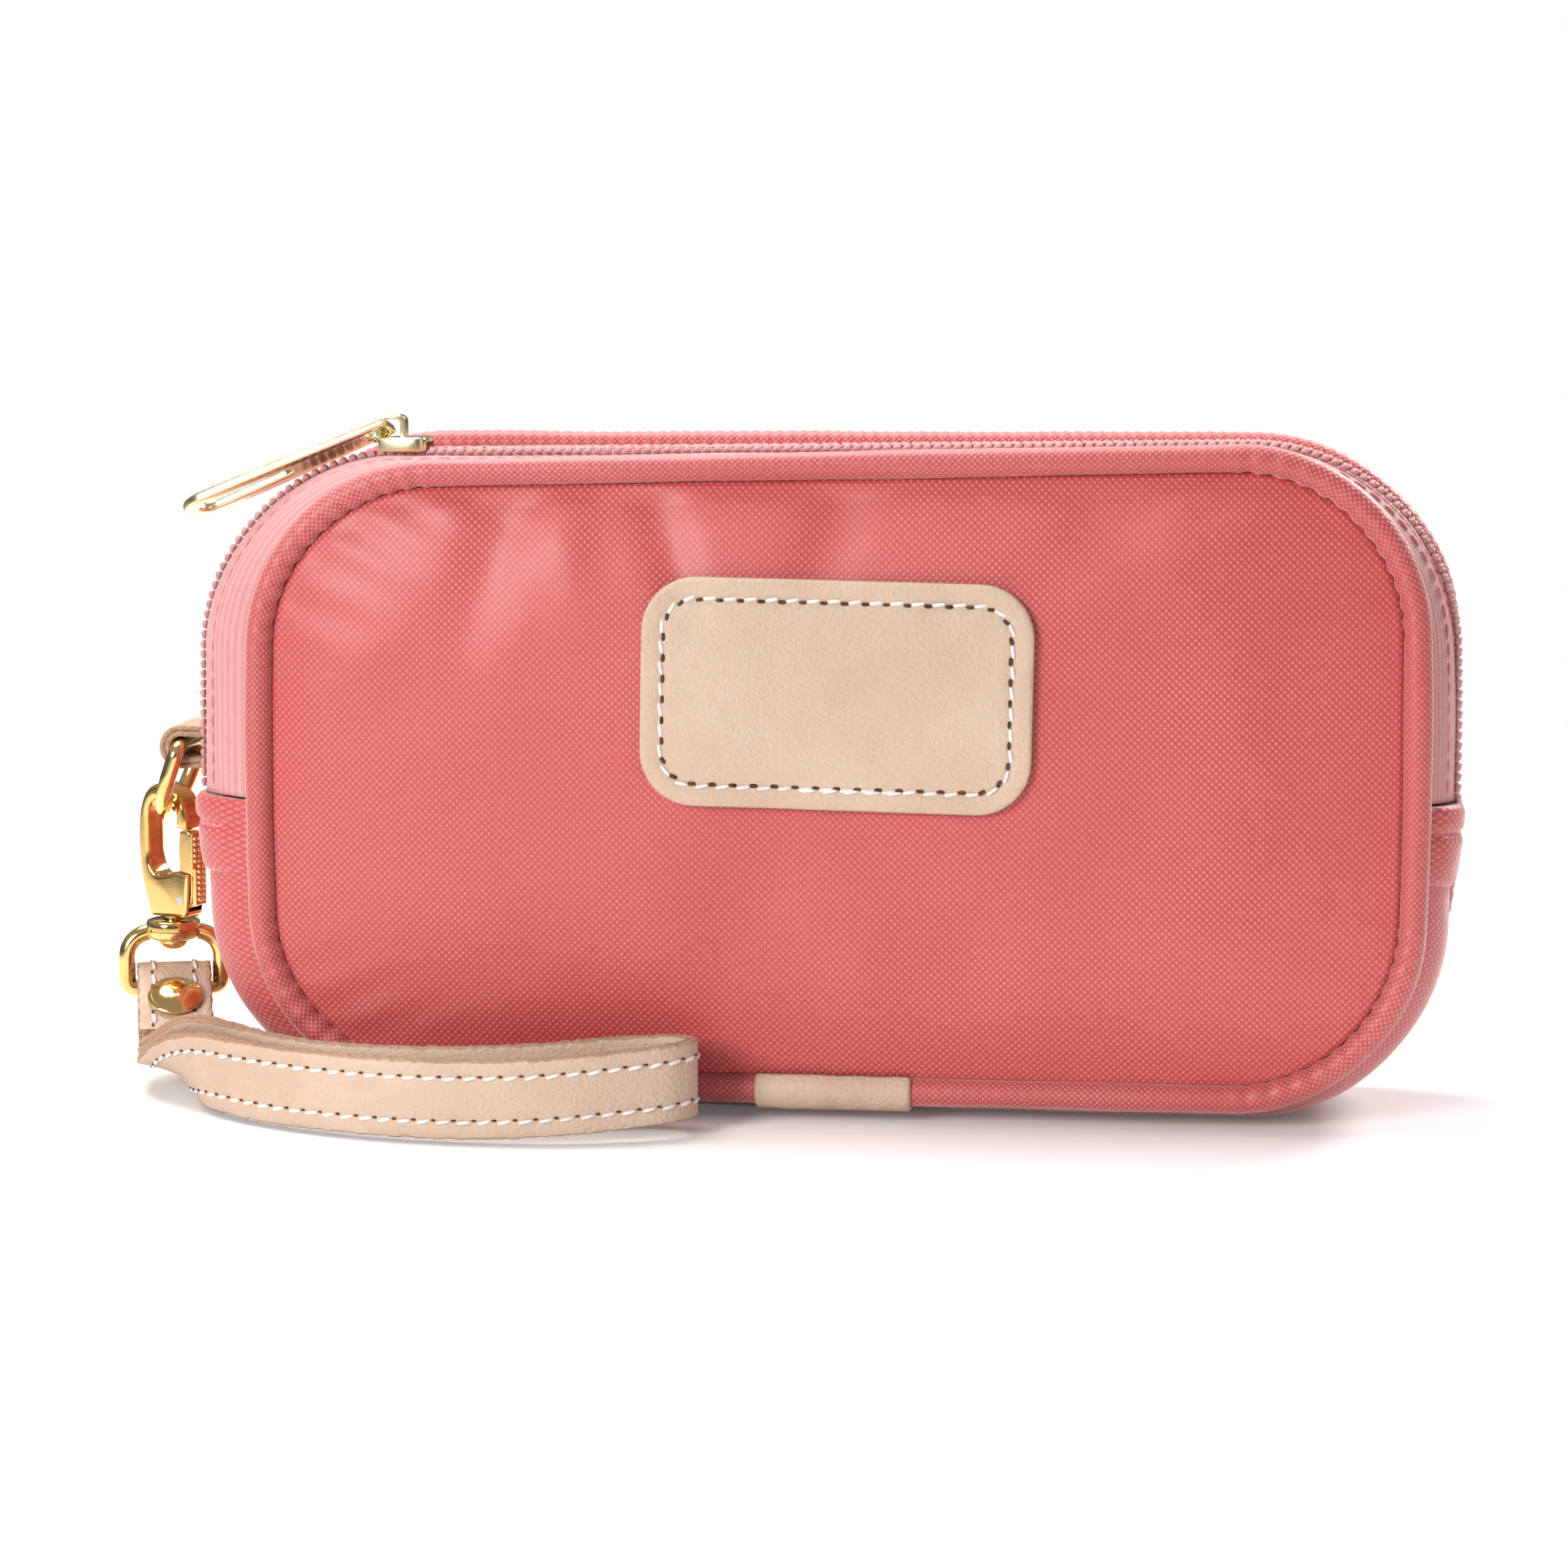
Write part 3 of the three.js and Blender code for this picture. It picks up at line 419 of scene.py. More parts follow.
def soften(points, line):
    """Bows the ends out a little and leans the top, more towards the top."""
    mid = MIDDLE["top"] / 2
    rise = (points[:, 1] - mid) / mid
    x = line["cx"] + (points[:, 0] - line["cx"]) * (1 - BARREL * rise**2)
    return np.stack([x, points[:, 1] * (1 + line["lean"] * x / line["top"])], axis=1)


def spaced(path, count):
    """The same path as count + 1 evenly spaced points."""
    path = np.array(path, float)
    run = arclength(path)
    at = np.linspace(0, run[-1], count + 1)
    return np.stack([np.interp(at, run, path[:, k]) for k in (0, 1)], axis=1)


def outward(points):
    """Unit normals of a flat path, to the right of its direction."""
    along = np.gradient(points, axis=0)
    return unit(np.stack([along[:, 1], -along[:, 0]], axis=1))


def fullness(y):
    """1 where the side bands are fullest, falling to 0 at the seams."""
    past = np.maximum(0, np.abs(y) - FLAT_Y) / (SEAM_Y - FLAT_Y)
    return 1 - past**2


class Side:
    """The side bands' surface round one half of the body."""

    COUNT = 1200

    def __init__(self, path):
        lines = {"front": FRONT, "middle": MIDDLE, "back": BACK}
        self.curve, self.normal = {}, {}
        for name, line in lines.items():
            points = soften(spaced(path(line), self.COUNT), line)
            self.curve[name] = points
            self.normal[name] = outward(points)
        self.length = arclength(self.curve["middle"])[-1]

    def at(self, t, y, out=0.0):
        """Points at a share t of the way round, at depth y, and out from the surface."""
        t, y, out = np.broadcast_arrays(t, y, out)
        seat = np.clip(t, 0, 1) * self.COUNT

        def read(table):
            known = np.arange(self.COUNT + 1)
            return np.stack([np.interp(seat, known, table[:, k]) for k in (0, 1)], axis=-1)

        def blended(tables):
            edge = np.where((y < 0)[..., None], read(tables["front"]), read(tables["back"]))
            return edge + (read(tables["middle"]) - edge) * fullness(y)[..., None]

        place = blended(self.curve) + unit(blended(self.normal)) * out[..., None]
        return np.stack([place[..., 0], y, place[..., 1]], axis=-1)

    def normals(self, t, y):
        return unit(self.at(t, y, 1.0) - self.at(t, y, 0.0))


LOWER, UPPER = Side(lower_path), Side(upper_path)


def seam_loop(line, count):
    """A closed seam line: points, outward normals and the distance along it."""
    lower = soften(spaced(lower_path(line), 500), line)
    upper = soften(spaced(upper_path(line), 500), line)
    loop = np.concatenate([lower, upper, lower[:1]])
    run = arclength(loop)
    at = np.linspace(0, run[-1], count + 1)
    points = np.stack([np.interp(at, run, loop[:, k]) for k in (0, 1)], axis=1)
    along = np.roll(points[:-1], -1, axis=0) - np.roll(points[:-1], 1, axis=0)
    normal = unit(np.stack([along[:, 1], -along[:, 0]], axis=1))
    return points, np.concatenate([normal, normal[:1]]), at


def bump_at(x, z, cx, cz, wide, tall, lean=0.0):
    """A soft round-topped swelling, 1 at its middle."""
    dx, dz = x - cx, z - cz
    dx = dx - lean * dz
    return np.exp(-((dx / wide) ** 2) - (dz / tall) ** 2)


# Swellings and hollows: middle x and z, half width, half height, depth in FORM_DEPTH, lean.
FORM_DEPTH = 1.5
FRONT_FORM = [
    (-50, 88, 5, 13, -0.85, 0.25),
    (-38, 91, 4, 10, 0.5, -0.1),
    (-22, 90, 4, 12, -0.7, -0.3),
    (4, 93, 5, 9, -0.55, 0.2),
    (46, 92, 9, 8, -0.4, 0.0),
    (-72, 72, 9, 14, 0.5, 0.5),
    (-9, 33, 9, 13, -0.8, 0.15),
    (24, 27, 7, 9, -0.7, -0.2),
    (8, 22, 6, 8, 0.5, 0.0),
    (-48, 24, 14, 9, -0.5, 0.2),
    (60, 30, 13, 10, 0.5, -0.2),
    (75, 62, 7, 22, -0.45, 0.1),
]
BACK_FORM = [
    (-40, 80, 16, 12, -0.8, 0.3),
    (20, 40, 22, 14, -0.7, -0.2),
    (60, 78, 10, 16, -0.7, 0.2),
    (-10, 88, 6, 12, -0.6, -0.2),
    (-60, 35, 12, 16, 0.6, 0.2),
]


class Panel:
    """The crowned front or back sheet, inside its seam."""

    def __init__(self, line, sign, form, seed):
        self.line, self.sign, self.form, self.seed = line, sign, form, seed
        self.loop, self.normal, _ = seam_loop(line, 480)
        self.centre = np.array([line["cx"], (line["bottom"] + line["top"]) / 2])
        rim = self.loop - self.normal * PANEL_INSET - self.centre
        angle = np.unwrap(np.arctan2(rim[:, 1], rim[:, 0]))
        self.angle, self.reach = angle, np.linalg.norm(rim, axis=1)

    def depth(self, x, z):
        """How far the outer surface stands out past the middle plane."""
        dx, dz = x - self.centre[0], z - self.centre[1]
        angle = np.arctan2(dz, dx)
        start = self.angle[0]
        angle = start + np.mod(angle - start, 2 * math.pi)
        share = np.clip(np.hypot(dx, dz) / np.interp(angle, self.angle, self.reach), 0, 1)
        swell = np.zeros_like(share)
        for cx, cz, wide, tall, amount, lean in self.form:
            swell += FORM_DEPTH * amount * bump_at(x, z, cx, cz, wide, tall, lean)
        fade = np.clip((1 - share) / 0.06, 0, 1)
        flat = np.stack([x, np.full_like(x, self.sign * 10.0), z], axis=-1)
        slack = rough(flat, 0.035, 0.55, self.seed) + rough(flat, 0.11, 0.16, self.seed + 7)
        pull = np.clip((share - 0.8) / 0.2, 0, 1) * np.clip((1.0 - share) / 0.03, 0, 1)
        gathers = 0.28 * np.sin(angle * 61 + 2 * np.sin(angle * 7)) * pull * self.cornering(angle)
        crown = PANEL_CROWN * (1 - share**4)
        return SEAM_Y + PANEL_HALF_T + crown + (swell + slack) * fade + gathers

    def cornering(self, angle):
        """1 at the four corners and 0 along the straight seams."""
        corner, spread = 0.47, 0.35
        turn = np.mod(angle, math.pi)
        near = np.minimum(np.abs(turn - corner), np.abs(turn - (math.pi - corner)))
        return np.clip(1 - near / spread, 0, 1)

    def make(self, name, node):
        shape = Shape()
        rim = self.loop - self.normal * PANEL_INSET
        shares = np.concatenate([np.linspace(0, 0.9, 44), np.linspace(0.91, 1, 14)])
        flat = self.centre + (rim - self.centre) * shares[:, None, None]
        depth = self.depth(flat[..., 0], flat[..., 1])
        tucks = [(1.9, -1.3), (0.8, -1.4)]
        rows = [self.loop - self.normal * inset for inset, _ in tucks]
        flat = np.concatenate([flat, np.array(rows)])
        low = [np.full(len(rim), SEAM_Y + PANEL_HALF_T + drop) for _, drop in tucks]
        depth = np.concatenate([depth, np.array(low)])
        uv = flat * np.array([self.sign, 1])
        rims = []
        for into in (0, 2 * PANEL_HALF_T):
            grid = np.stack([flat[..., 0], self.sign * (depth - into), flat[..., 1]], axis=-1)
            shape.grid(grid, uv)
            rims.append(grid[-1])
        shape.grid(rims, np.stack([uv[-1], uv[-1]]))
        return shape.make(name, [CANVAS], "root", [node], "canvas")


front = Panel(FRONT, -1, FRONT_FORM, 3.1)
front.make("front_sheet", "front_panel")
Panel(BACK, 1, BACK_FORM, 9.7).make("back_sheet", "back_panel")


def piping(name, node, line, side, bead, seed):
    """Cord in a bias strip, gathered a little where the seam turns."""
    ripple_pitch, bead_pitch = 3.4, 1.95
    points, normal, run = seam_loop(line, 900)
    turns = np.linspace(0, 2 * math.pi, 21)
    bend = np.abs(np.gradient(np.unwrap(np.arctan2(normal[:, 1], normal[:, 0])), run))
    curved = np.clip(bend / 0.03, 0, 1)
    ripple = np.sin(run * 2 * math.pi / ripple_pitch + 1.3 * np.sin(run / 9))
    middle = np.stack([points[:, 0], np.full(len(run), side * SEAM_Y), points[:, 1]], axis=1)
    radius = PIPING_R + rough(middle, 0.06, 0.22, seed) + bead * np.sin(run * 2 * math.pi / bead_pitch)
    grid = np.zeros((len(run), len(turns), 3))
    for j, turn in enumerate(turns):
        inner = 0.5 - 0.5 * math.cos(turn)
        r = radius + (0.2 * ripple * curved - 0.05) * inner
        grid[:, j, 0] = points[:, 0] + normal[:, 0] * r * math.cos(turn)
        grid[:, j, 1] = side * SEAM_Y + r * math.sin(turn)
        grid[:, j, 2] = points[:, 1] + normal[:, 1] * r * math.cos(turn)
    grid[-1] = grid[0]
    shape = Shape().grid(grid, uv_grid(run, turns * PIPING_R))
    return shape.make(name, [PIPING], "root", [node], "canvas")


piping("front_piping_cord", "front_piping", FRONT, -1, 0.03, 1.7)
piping("back_piping_cord", "back_piping", BACK, 1, 0.09, 5.3)


def band(name, node, finish, slot, side, ys, thick):
    """A cloth band round one half of the body, a little uneven away from its seams."""
    ts = np.linspace(0, 1, 300)
    t, y = np.meshgrid(ts, ys, indexing="ij")
    level = rough(side.at(t, y), 0.05, 0.35, 2.2) * np.clip((SEAM_Y - np.abs(y)) / 4, 0, 1)
    shape = Shape().shell(side.at(t, y, level), side.at(t, y, level - thick), uv_grid(ts * side.length, ys))
    shape.make(name, [finish], "root", [node], slot)


NEAR_YS = np.linspace(-EDGE_Y, ZIP_Y - ZIP_HALF_GAP, 20)
FAR_YS = np.linspace(ZIP_Y + ZIP_HALF_GAP, EDGE_Y, 24)
band("gusset_band", "bottom_gusset", CANVAS, "canvas", LOWER, np.linspace(-EDGE_Y, EDGE_Y, 34), GUSSET_T)
band("zip_tape_near", "zip_tape_front", TAPE, "zip_tape", UPPER, NEAR_YS, TAPE_T)
band("zip_tape_far", "zip_tape_back", TAPE, "zip_tape", UPPER, FAR_YS, TAPE_T)


# ---------- stitches and teeth ----------
def pellet(shape, centre, along, up, length, width, height, kind=0, rings=6, sides=7):
    """A rounded grain, such as a stitch or a zip tooth, lying along a direction."""
    along, up = unit(np.array(along)), unit(np.array(up))
    across = np.cross(up, along)
    lat = np.linspace(0, math.pi, rings + 1)
    turn = np.linspace(0, 2 * math.pi, sides + 1)
    a, b = np.meshgrid(lat, turn, indexing="ij")
    fat = np.sin(a) ** 0.6
    local = (
        (-np.cos(a))[..., None] * along * length / 2
        + (fat * np.cos(b))[..., None] * across * width / 2
        + (fat * np.sin(b))[..., None] * up * height / 2
    )
    arch = (np.sin(a) ** 2 * height * 0.25)[..., None] * up
    shape.grid(np.asarray(centre) + local + arch, None, kind)


def stitch_row(shape, points, ups, pitch, length, width, height, hole=0.0, slant=0.0, jitter=0.0):
    """Stitches along a line of points, with a dark pellet of painted shade for a needle hole between each
    two.
    """
    points, ups = np.asarray(points), np.asarray(ups)
    run = arclength(points)
    count = max(1, int(round(run[-1] / pitch)))
    step = run[-1] / count
    chance = random.Random(count * 7 + 1)

    def at(table, s):
        return np.array([np.interp(s, run, table[:, k]) for k in range(3)])

    for i in range(count):
        s = (i + 0.5) * step
        up = unit(at(ups, s))
        along = unit(at(points, s + 0.4) - at(points, s - 0.4))
        across = np.cross(up, along)
        tilt = slant + chance.uniform(-jitter, jitter)
        place = at(points, s) + across * chance.uniform(-jitter, jitter) * 0.8
        pellet(shape, place, along + across * tilt, up, length, width, height)
        if hole:
            # Painted shade: a dark pellet stands for each shaded needle hole.
            hole_shade_at = at(points, i * step) + across * 0.3
            pellet(shape, hole_shade_at, along, up, hole * 1.5, hole * 0.75, 0.42, kind=1, rings=4)


def coil(name, node, side):
    """Interlocking teeth along one edge of the zip, with the thread that holds them."""
    shape = Shape()
    count = int(UPPER.length / COIL_PITCH)
    for i in range(count):
        t = (i + 0.5 + 0.25 * side) / count
        y = ZIP_Y + side * 1.35
        place = UPPER.at(t, y, 0.5)
        up = UPPER.normals(t, y)
        pellet(shape, place, (0, side, 0), up, 2.7, 1.0, 1.05, rings=6, sides=8)
        ahead = UPPER.at(min(t + 0.001, 1), y) - UPPER.at(max(t - 0.001, 0), y)
        thread = UPPER.at(t, ZIP_Y + side * 2.75, 0.35)
        pellet(shape, thread, ahead, up, 1.55, 0.85, 0.8, rings=4, sides=6)
    return shape.make(name, [COIL], "root", [node], "zip_tape")


coil("zip_teeth_near", "zip_coil_front", -1)
coil("zip_teeth_far", "zip_coil_back", 1)


def tape_stitching():
    """The topstitching that holds each tape beside its piping."""
    shape = Shape()
    t = np.linspace(0.004, 0.996, 500)
    for y in (-TOPSTITCH_Y, TOPSTITCH_Y):
        stitch_row(shape, UPPER.at(t, y, 0.05), UPPER.normals(t, y), 3.0, 2.3, 0.55, 0.45, jitter=0.02)
    shape.make("tape_topstitching", [PINK_THREAD], "root")


tape_stitching()


def fold(name, node, left):
    """The doubled end of the gusset, lapped over the end of the zip and tacked down."""
    reach = FOLD_REACH / LOWER.length
    ts = np.linspace(0, reach, 22) if left else np.linspace(1, 1 - reach, 22)
    ys = np.linspace(-EDGE_Y, EDGE_Y, 30)
    share = np.linspace(0, 1, len(ts))
    t, y = np.meshgrid(ts, ys, indexing="ij")
    lip = 1.75 * np.sqrt(np.clip(1 - share**2.4, 0, 1)) + 0.1
    lip[0], lip[1] = 1.15, 1.6
    tack = 1 - 0.45 * np.exp(-(((share - 0.36) / 0.05) ** 2))
    edge = np.clip((SEAM_Y - np.abs(ys)) / 3, 0.25, 1)
    out = (lip * tack)[:, None] * edge[None, :] + rough(LOWER.at(t, y), 0.2, 0.25, 4.0)
    shape = Shape().shell(LOWER.at(t, y, out), LOWER.at(t, y, -0.2), uv_grid(share * FOLD_REACH, ys))
    shape.make(name, [CANVAS], "root", [node], "canvas")
    row = Shape()
    seat = ts[8]
    line = np.linspace(-BARTACK_HALF, BARTACK_HALF, 60)
    on, ups = LOWER.at(seat, line, 0.95), LOWER.normals(seat, line)
    stitch_row(row, on, ups, 1.5, 1.5, 0.7, 0.6, slant=0.3, jitter=0.1)
    row.make(name + "_bartack", [PINK_THREAD], "root")


fold("fold_near_strap", "gusset_fold_left", True)
fold("fold_far_end", "gusset_fold_right", False)


# ---------- leather trim ----------
def rounded_outline(width, height, r, count=200):
    x, y = width / 2 - r, height / 2 - r
    path = []
    for cx, cy, start in ((x, y, 0), (-x, y, 90), (-x, -y, 180), (x, -y, 270)):
        path += arc(cx, cy, r, start, start + 90)
    return spaced(path + path[:1], count)


def turned_patch(points):
    """Places flat points of the patch on the front: its small turn, then its middle."""
    a = math.radians(PATCH["turn"])
    x = points[..., 0] * math.cos(a) + points[..., 1] * math.sin(a)
    z = points[..., 1] * math.cos(a) - points[..., 0] * math.sin(a)
    return PATCH["x"] + x, PATCH["z"] + z


def label_patch():
    """A leather patch that follows the front, with a hand-finished edge and stitching."""
    width, height, r, thick = (PATCH[k] for k in ("width", "height", "corner", "thick"))
    stitch_inset = 3.2

    def ring(inset):
        return rounded_outline(width - 2 * inset, height - 2 * inset, max(r - inset, 1.5))

    def seat(x, z):
        """The patch bridges the hollows of the front a little."""
        return 0.7 * front.depth(x, z) + 0.3 * (SEAM_Y + PANEL_HALF_T + PANEL_CROWN)

    profile = [(0, 0.0), (0, 0.35), (0, 1.35), (0.12, 1.6), (0.4, 1.76)]
    for inset in np.arange(0.8, 6.4, 0.4):
        groove = math.exp(-(((inset - stitch_inset) / 0.75) ** 2))
        profile.append((inset, thick - 0.28 * groove))
    rings = [ring(inset) for inset, _ in profile]
    heights = [h for _, h in profile]
    last = ring(profile[-1][0])
    for scale in np.linspace(0.93, 0, 14):
        rings.append(last * scale)
        heights.append(thick)
    flat = np.array(rings)
    x, z = turned_patch(flat)
    under = np.maximum(seat(x, z), front.depth(x, z) - 0.1)
    level = np.array(heights)[:, None]
    wave = rough(np.stack([x, 0 * x, z], axis=-1), 0.12, 0.18, 6.0)
    y = -(under + level + wave * np.clip(level, 0, 1))
    grid = np.stack([x, y, z], axis=-1)
    shape = Shape().grid(grid[:3], flat[:3], 1).grid(grid[2:], flat[2:], 0)
    shape.make("leather_label", [LEATHER, RAW_EDGE], "root", ["label_patch"], "leather")

    rx, rz = turned_patch(ring(stitch_inset))
    line = np.stack([rx, -(seat(rx, rz) + thick - 0.26), rz], axis=-1)
    ups = np.tile([0.0, -1.0, 0.0], (len(line), 1))
    stitches = Shape()
    stitch_row(stitches, line, ups, **STITCH, hole=0.95)
    low = (np.abs(rx - 6) < 9) & (rz < PATCH["z"])
    again = line[low] + np.array([0.9, -0.15, -0.25])
    stitch_row(stitches, again, ups[low], STITCH["pitch"], 2.4, 0.55, 0.5, slant=0.12, jitter=0.05)
    stitches.make("label_stitching", [THREAD, NEEDLE_HOLE_SHADE], "root", ["label_patch_thread"], "thread")


label_patch()


def piping_wrap():
    """A leather tongue folded over the piping where its ends meet."""
    xs = np.linspace(-WRAP["length"] / 2, WRAP["length"] / 2, 60)
    turns = np.radians(np.linspace(-100, 60, 26))
    u, a = np.meshgrid(xs, turns, indexing="ij")
    ends = np.clip((WRAP["length"] / 2 - np.abs(u)) / 0.35, 0, 1) ** 0.5
    flat = np.stack([u, 3 * a, 0 * u], axis=-1)
    outer = WRAP["inner"] + (WRAP["outer"] - WRAP["inner"]) * (0.35 + 0.65 * ends)
    outer = outer + rough(flat, 0.25, 0.2, 8.0)

    def at(radius):
        z = FRONT["bottom"] * (1 + FRONT["lean"] * (WRAP["x"] + u) / FRONT["top"])
        return np.stack([WRAP["x"] + u, -SEAM_Y - radius * np.cos(a), z + radius * np.sin(a)], axis=-1)

    shape = Shape().shell(at(outer), at(np.full_like(u, WRAP["inner"] - 0.15)), rim=1)
    shape.make("piping_tongue", [LEATHER, RAW_EDGE], "root", ["piping_joint_wrap"], "leather")


piping_wrap()


def ply(shape, middle, across, inward, half, near, far, seed):
    """One layer of leather along a strap, with soft corners and an uneven raw edge."""
    run = arclength(middle)
    soft = 0.22
    section = [(-half + soft, near), (half - soft, near), (half, near + soft), (half, far - soft)]
    section += [(half - soft, far), (-half + soft, far), (-half, far - soft), (-half, near + soft)]
    kinds = [0, 1, 1, 1, 0, 1, 1, 1]
    fray = rough(middle, 0.9, 0.22, seed) + rough(middle, 3.5, 0.12, seed + 3)
    other = rough(middle, 0.9, 0.22, seed + 11) + rough(middle, 3.5, 0.12, seed + 17)
    swell = rough(middle, 0.15, 0.1, seed + 5)

    def line(a, b):
        reach = a + (fray if a > 0 else other) * (abs(a) > half - 2 * soft)
        depth = b + swell * (1 if b > 0 else -1) * (abs(b) > 0.5)
        return middle + across * reach[:, None] + inward * depth[:, None]

    for k, kind in enumerate(kinds):
        (a, b), (c, d) = section[k], section[(k + 1) % len(section)]
        pieces = 12 if kind == 0 else 1
        share = np.linspace(0, 1, pieces + 1)
        start, end = line(a, b), line(c, d)
        grid = start[:, None] + (end - start)[:, None] * share[None, :, None]
        shape.grid(grid, uv_grid(run, a + (c - a) * share), kind)
    for i in (0, -1):
        ends = []
        for a in np.linspace(-half + soft, half - soft, 13):
            ends.append([line(a, near)[i], line(a, far)[i]])
        shape.grid(ends, None, 1)
        for sign in (-1, 1):
            side = [line(sign * (half - soft), near)[i], line(sign * (half - soft), far)[i]]
            lip = [line(sign * half, near + soft)[i], line(sign * half, far - soft)[i]]
            shape.grid([side, lip], None, 1)


def ring_tab():
    """The leather tab that holds the D-ring."""
    wall = MIDDLE["cx"] - MIDDLE["half"] + 0.6 - TAB["x"]
    r = TAB["inner"] + TAB["ply"] / 2
    path = [(x, r - 0.03 * x) for x in np.linspace(wall, 0.3, 9)]
    path += arc(0, 0, r, 90, 270)
    path += [(x, 0.03 * x - r) for x in np.linspace(0.3, wall, 9)]
    path = spaced(path, 90)
    zeros = np.zeros(len(path))
    middle = np.stack([TAB["x"] + path[:, 0], zeros + HARDWARE_Y, TAB["z"] + path[:, 1]], axis=1)
    normal = outward(path)
    inward = np.stack([normal[:, 0], zeros, normal[:, 1]], axis=1)
    across = np.tile([0.0, 1.0, 0.0], (len(path), 1))
    shape = Shape()
    ply(shape, middle, across, inward, TAB["width"] / 2, -0.93, -0.02, 21.0)
    ply(shape, middle, across, inward, TAB["width"] / 2 - 0.1, 0.02, 0.93, 23.0)
    shape.make("d_ring_tab", [LEATHER, RAW_EDGE], "root", ["ring_tab"], "leather")


ring_tab()


# ---------- metal ----------
def placed(grid, matrix):
    """A grid of points moved by a matrix, all in millimetres."""
    grid = np.asarray(grid, float)
    flat = np.c_[grid.reshape(-1, 3), np.ones(grid.size // 3)] @ np.array(matrix).T
    return flat[:, :3].reshape(grid.shape)


def pose(place, degrees, axis):
    """A matrix that turns about an axis and then moves to a place."""
    return Matrix.Translation(place) @ turned(degrees, axis)


def turned(degrees, axis):
    return Matrix.Rotation(math.radians(degrees), 4, axis)


def wire(path, radius, closed=True):
    """Round wire along a flat path in X and Z."""
    path, sides = np.asarray(path), 18
    if closed:
        along = np.roll(path[:-1], -1, axis=0) - np.roll(path[:-1], 1, axis=0)
        along = np.concatenate([along, along[:1]])
    else:
        along = np.gradient(path, axis=0)
    out = unit(np.stack([along[:, 1], -along[:, 0]], axis=1))
    turn = np.linspace(0, 2 * math.pi, sides + 1)
    grid = np.zeros((len(path), sides + 1, 3))
    grid[..., 0] = path[:, :1] + out[:, :1] * radius * np.cos(turn)
    grid[..., 1] = radius * np.sin(turn)
    grid[..., 2] = path[:, 1:] + out[:, 1:] * radius * np.cos(turn)
    return grid


def lathe(profile, sides=48):
    """A turned form about Z from points of radius and height."""
    profile = np.array(profile, float)
    turn = np.linspace(0, 2 * math.pi, sides + 1)
    r, z = profile[:, :1], profile[:, 1:]
    return np.stack([r * np.cos(turn), r * np.sin(turn), z + 0 * turn], axis=-1)


def quadratic(a, b, c):
    """Points along a curve from a, which is left out, towards b and on to c."""
    t = np.linspace(0, 1, 15)[1:, None]
    a, b, c = (np.array(p, float) for p in (a, b, c))
    return ((1 - t) ** 2 * a + 2 * t * (1 - t) * b + t**2 * c).tolist()


def trace(start, *moves):
    """A flat outline: a move of two numbers is a line, and of four a curve to its last two."""
    path = [list(start)]
    for move in moves:
        if len(move) == 2:
            path.append(list(move))
        else:
            path += quadratic(path[-1], move[:2], move[2:])
    return path


def evaluated(obj):
    """The mesh that an object shows. The object itself is deleted."""
    made = bpy.data.meshes.new_from_object(obj.evaluated_get(bpy.context.evaluated_depsgraph_get()))
    bpy.data.objects.remove(obj)
    return made


def plate_mesh(name, outlines, thick, bevel, steps=4):
    """A flat plate in X and Z with rounded edges. Outlines after the first are holes."""
    curve = bpy.data.curves.new(name, "CURVE")
    curve.dimensions, curve.fill_mode = "2D", "BOTH"
    curve.extrude = (thick / 2 - bevel) * MM
    curve.bevel_depth, curve.bevel_resolution = bevel * MM, steps
    curve.offset = -bevel * MM
    for outline in outlines:
        spline = curve.splines.new("POLY")
        spline.points.add(len(outline) - 1)
        for point, (x, z) in zip(spline.points, outline):
            point.co = (x * MM, z * MM, 0, 1)
        spline.use_cyclic_u = True
    obj = bpy.data.objects.new(name, curve)
    scene.collection.objects.link(obj)
    mesh = evaluated(obj)
    mesh.transform(turned(90, "X"))
    bm = bmesh.new()
    bm.from_mesh(mesh)
    bmesh.ops.remove_doubles(bm, verts=bm.verts, dist=1e-6)
    bmesh.ops.recalc_face_normals(bm, faces=bm.faces)
    bm.to_mesh(mesh)
    bm.free()
    return mesh


def box_mesh(lo, hi):
    """A plain cutter."""
    mesh = bpy.data.meshes.new("cutter")
    bm = bmesh.new()
    bmesh.ops.create_cube(bm, size=1)
    size = Vector(hi) - Vector(lo)
    middle = (Vector(hi) + Vector(lo)) / 2
    bm.transform(Matrix.Translation(middle * MM) @ Matrix.Diagonal((*(size * MM), 1)))
    bm.to_mesh(mesh)
    bm.free()
    return mesh


def carved(mesh, cutter):
    """The mesh with the cutter taken out of it."""
    obj, tool = bpy.data.objects.new("work", mesh), bpy.data.objects.new("cutter", cutter)
    scene.collection.objects.link(obj)
    scene.collection.objects.link(tool)
    modifier = obj.modifiers.new("cut", "BOOLEAN")
    modifier.object, modifier.operation, modifier.solver = tool, "DIFFERENCE", "EXACT"
    bpy.context.view_layer.update()
    made = evaluated(obj)
    bpy.data.objects.remove(tool)
    return made


def stand(mesh, matrix):
    """Moves a mesh in metres by a matrix whose shift is in millimetres."""
    shifted = matrix.copy()
    shifted.translation = matrix.translation * MM
    mesh.transform(shifted)
    return mesh


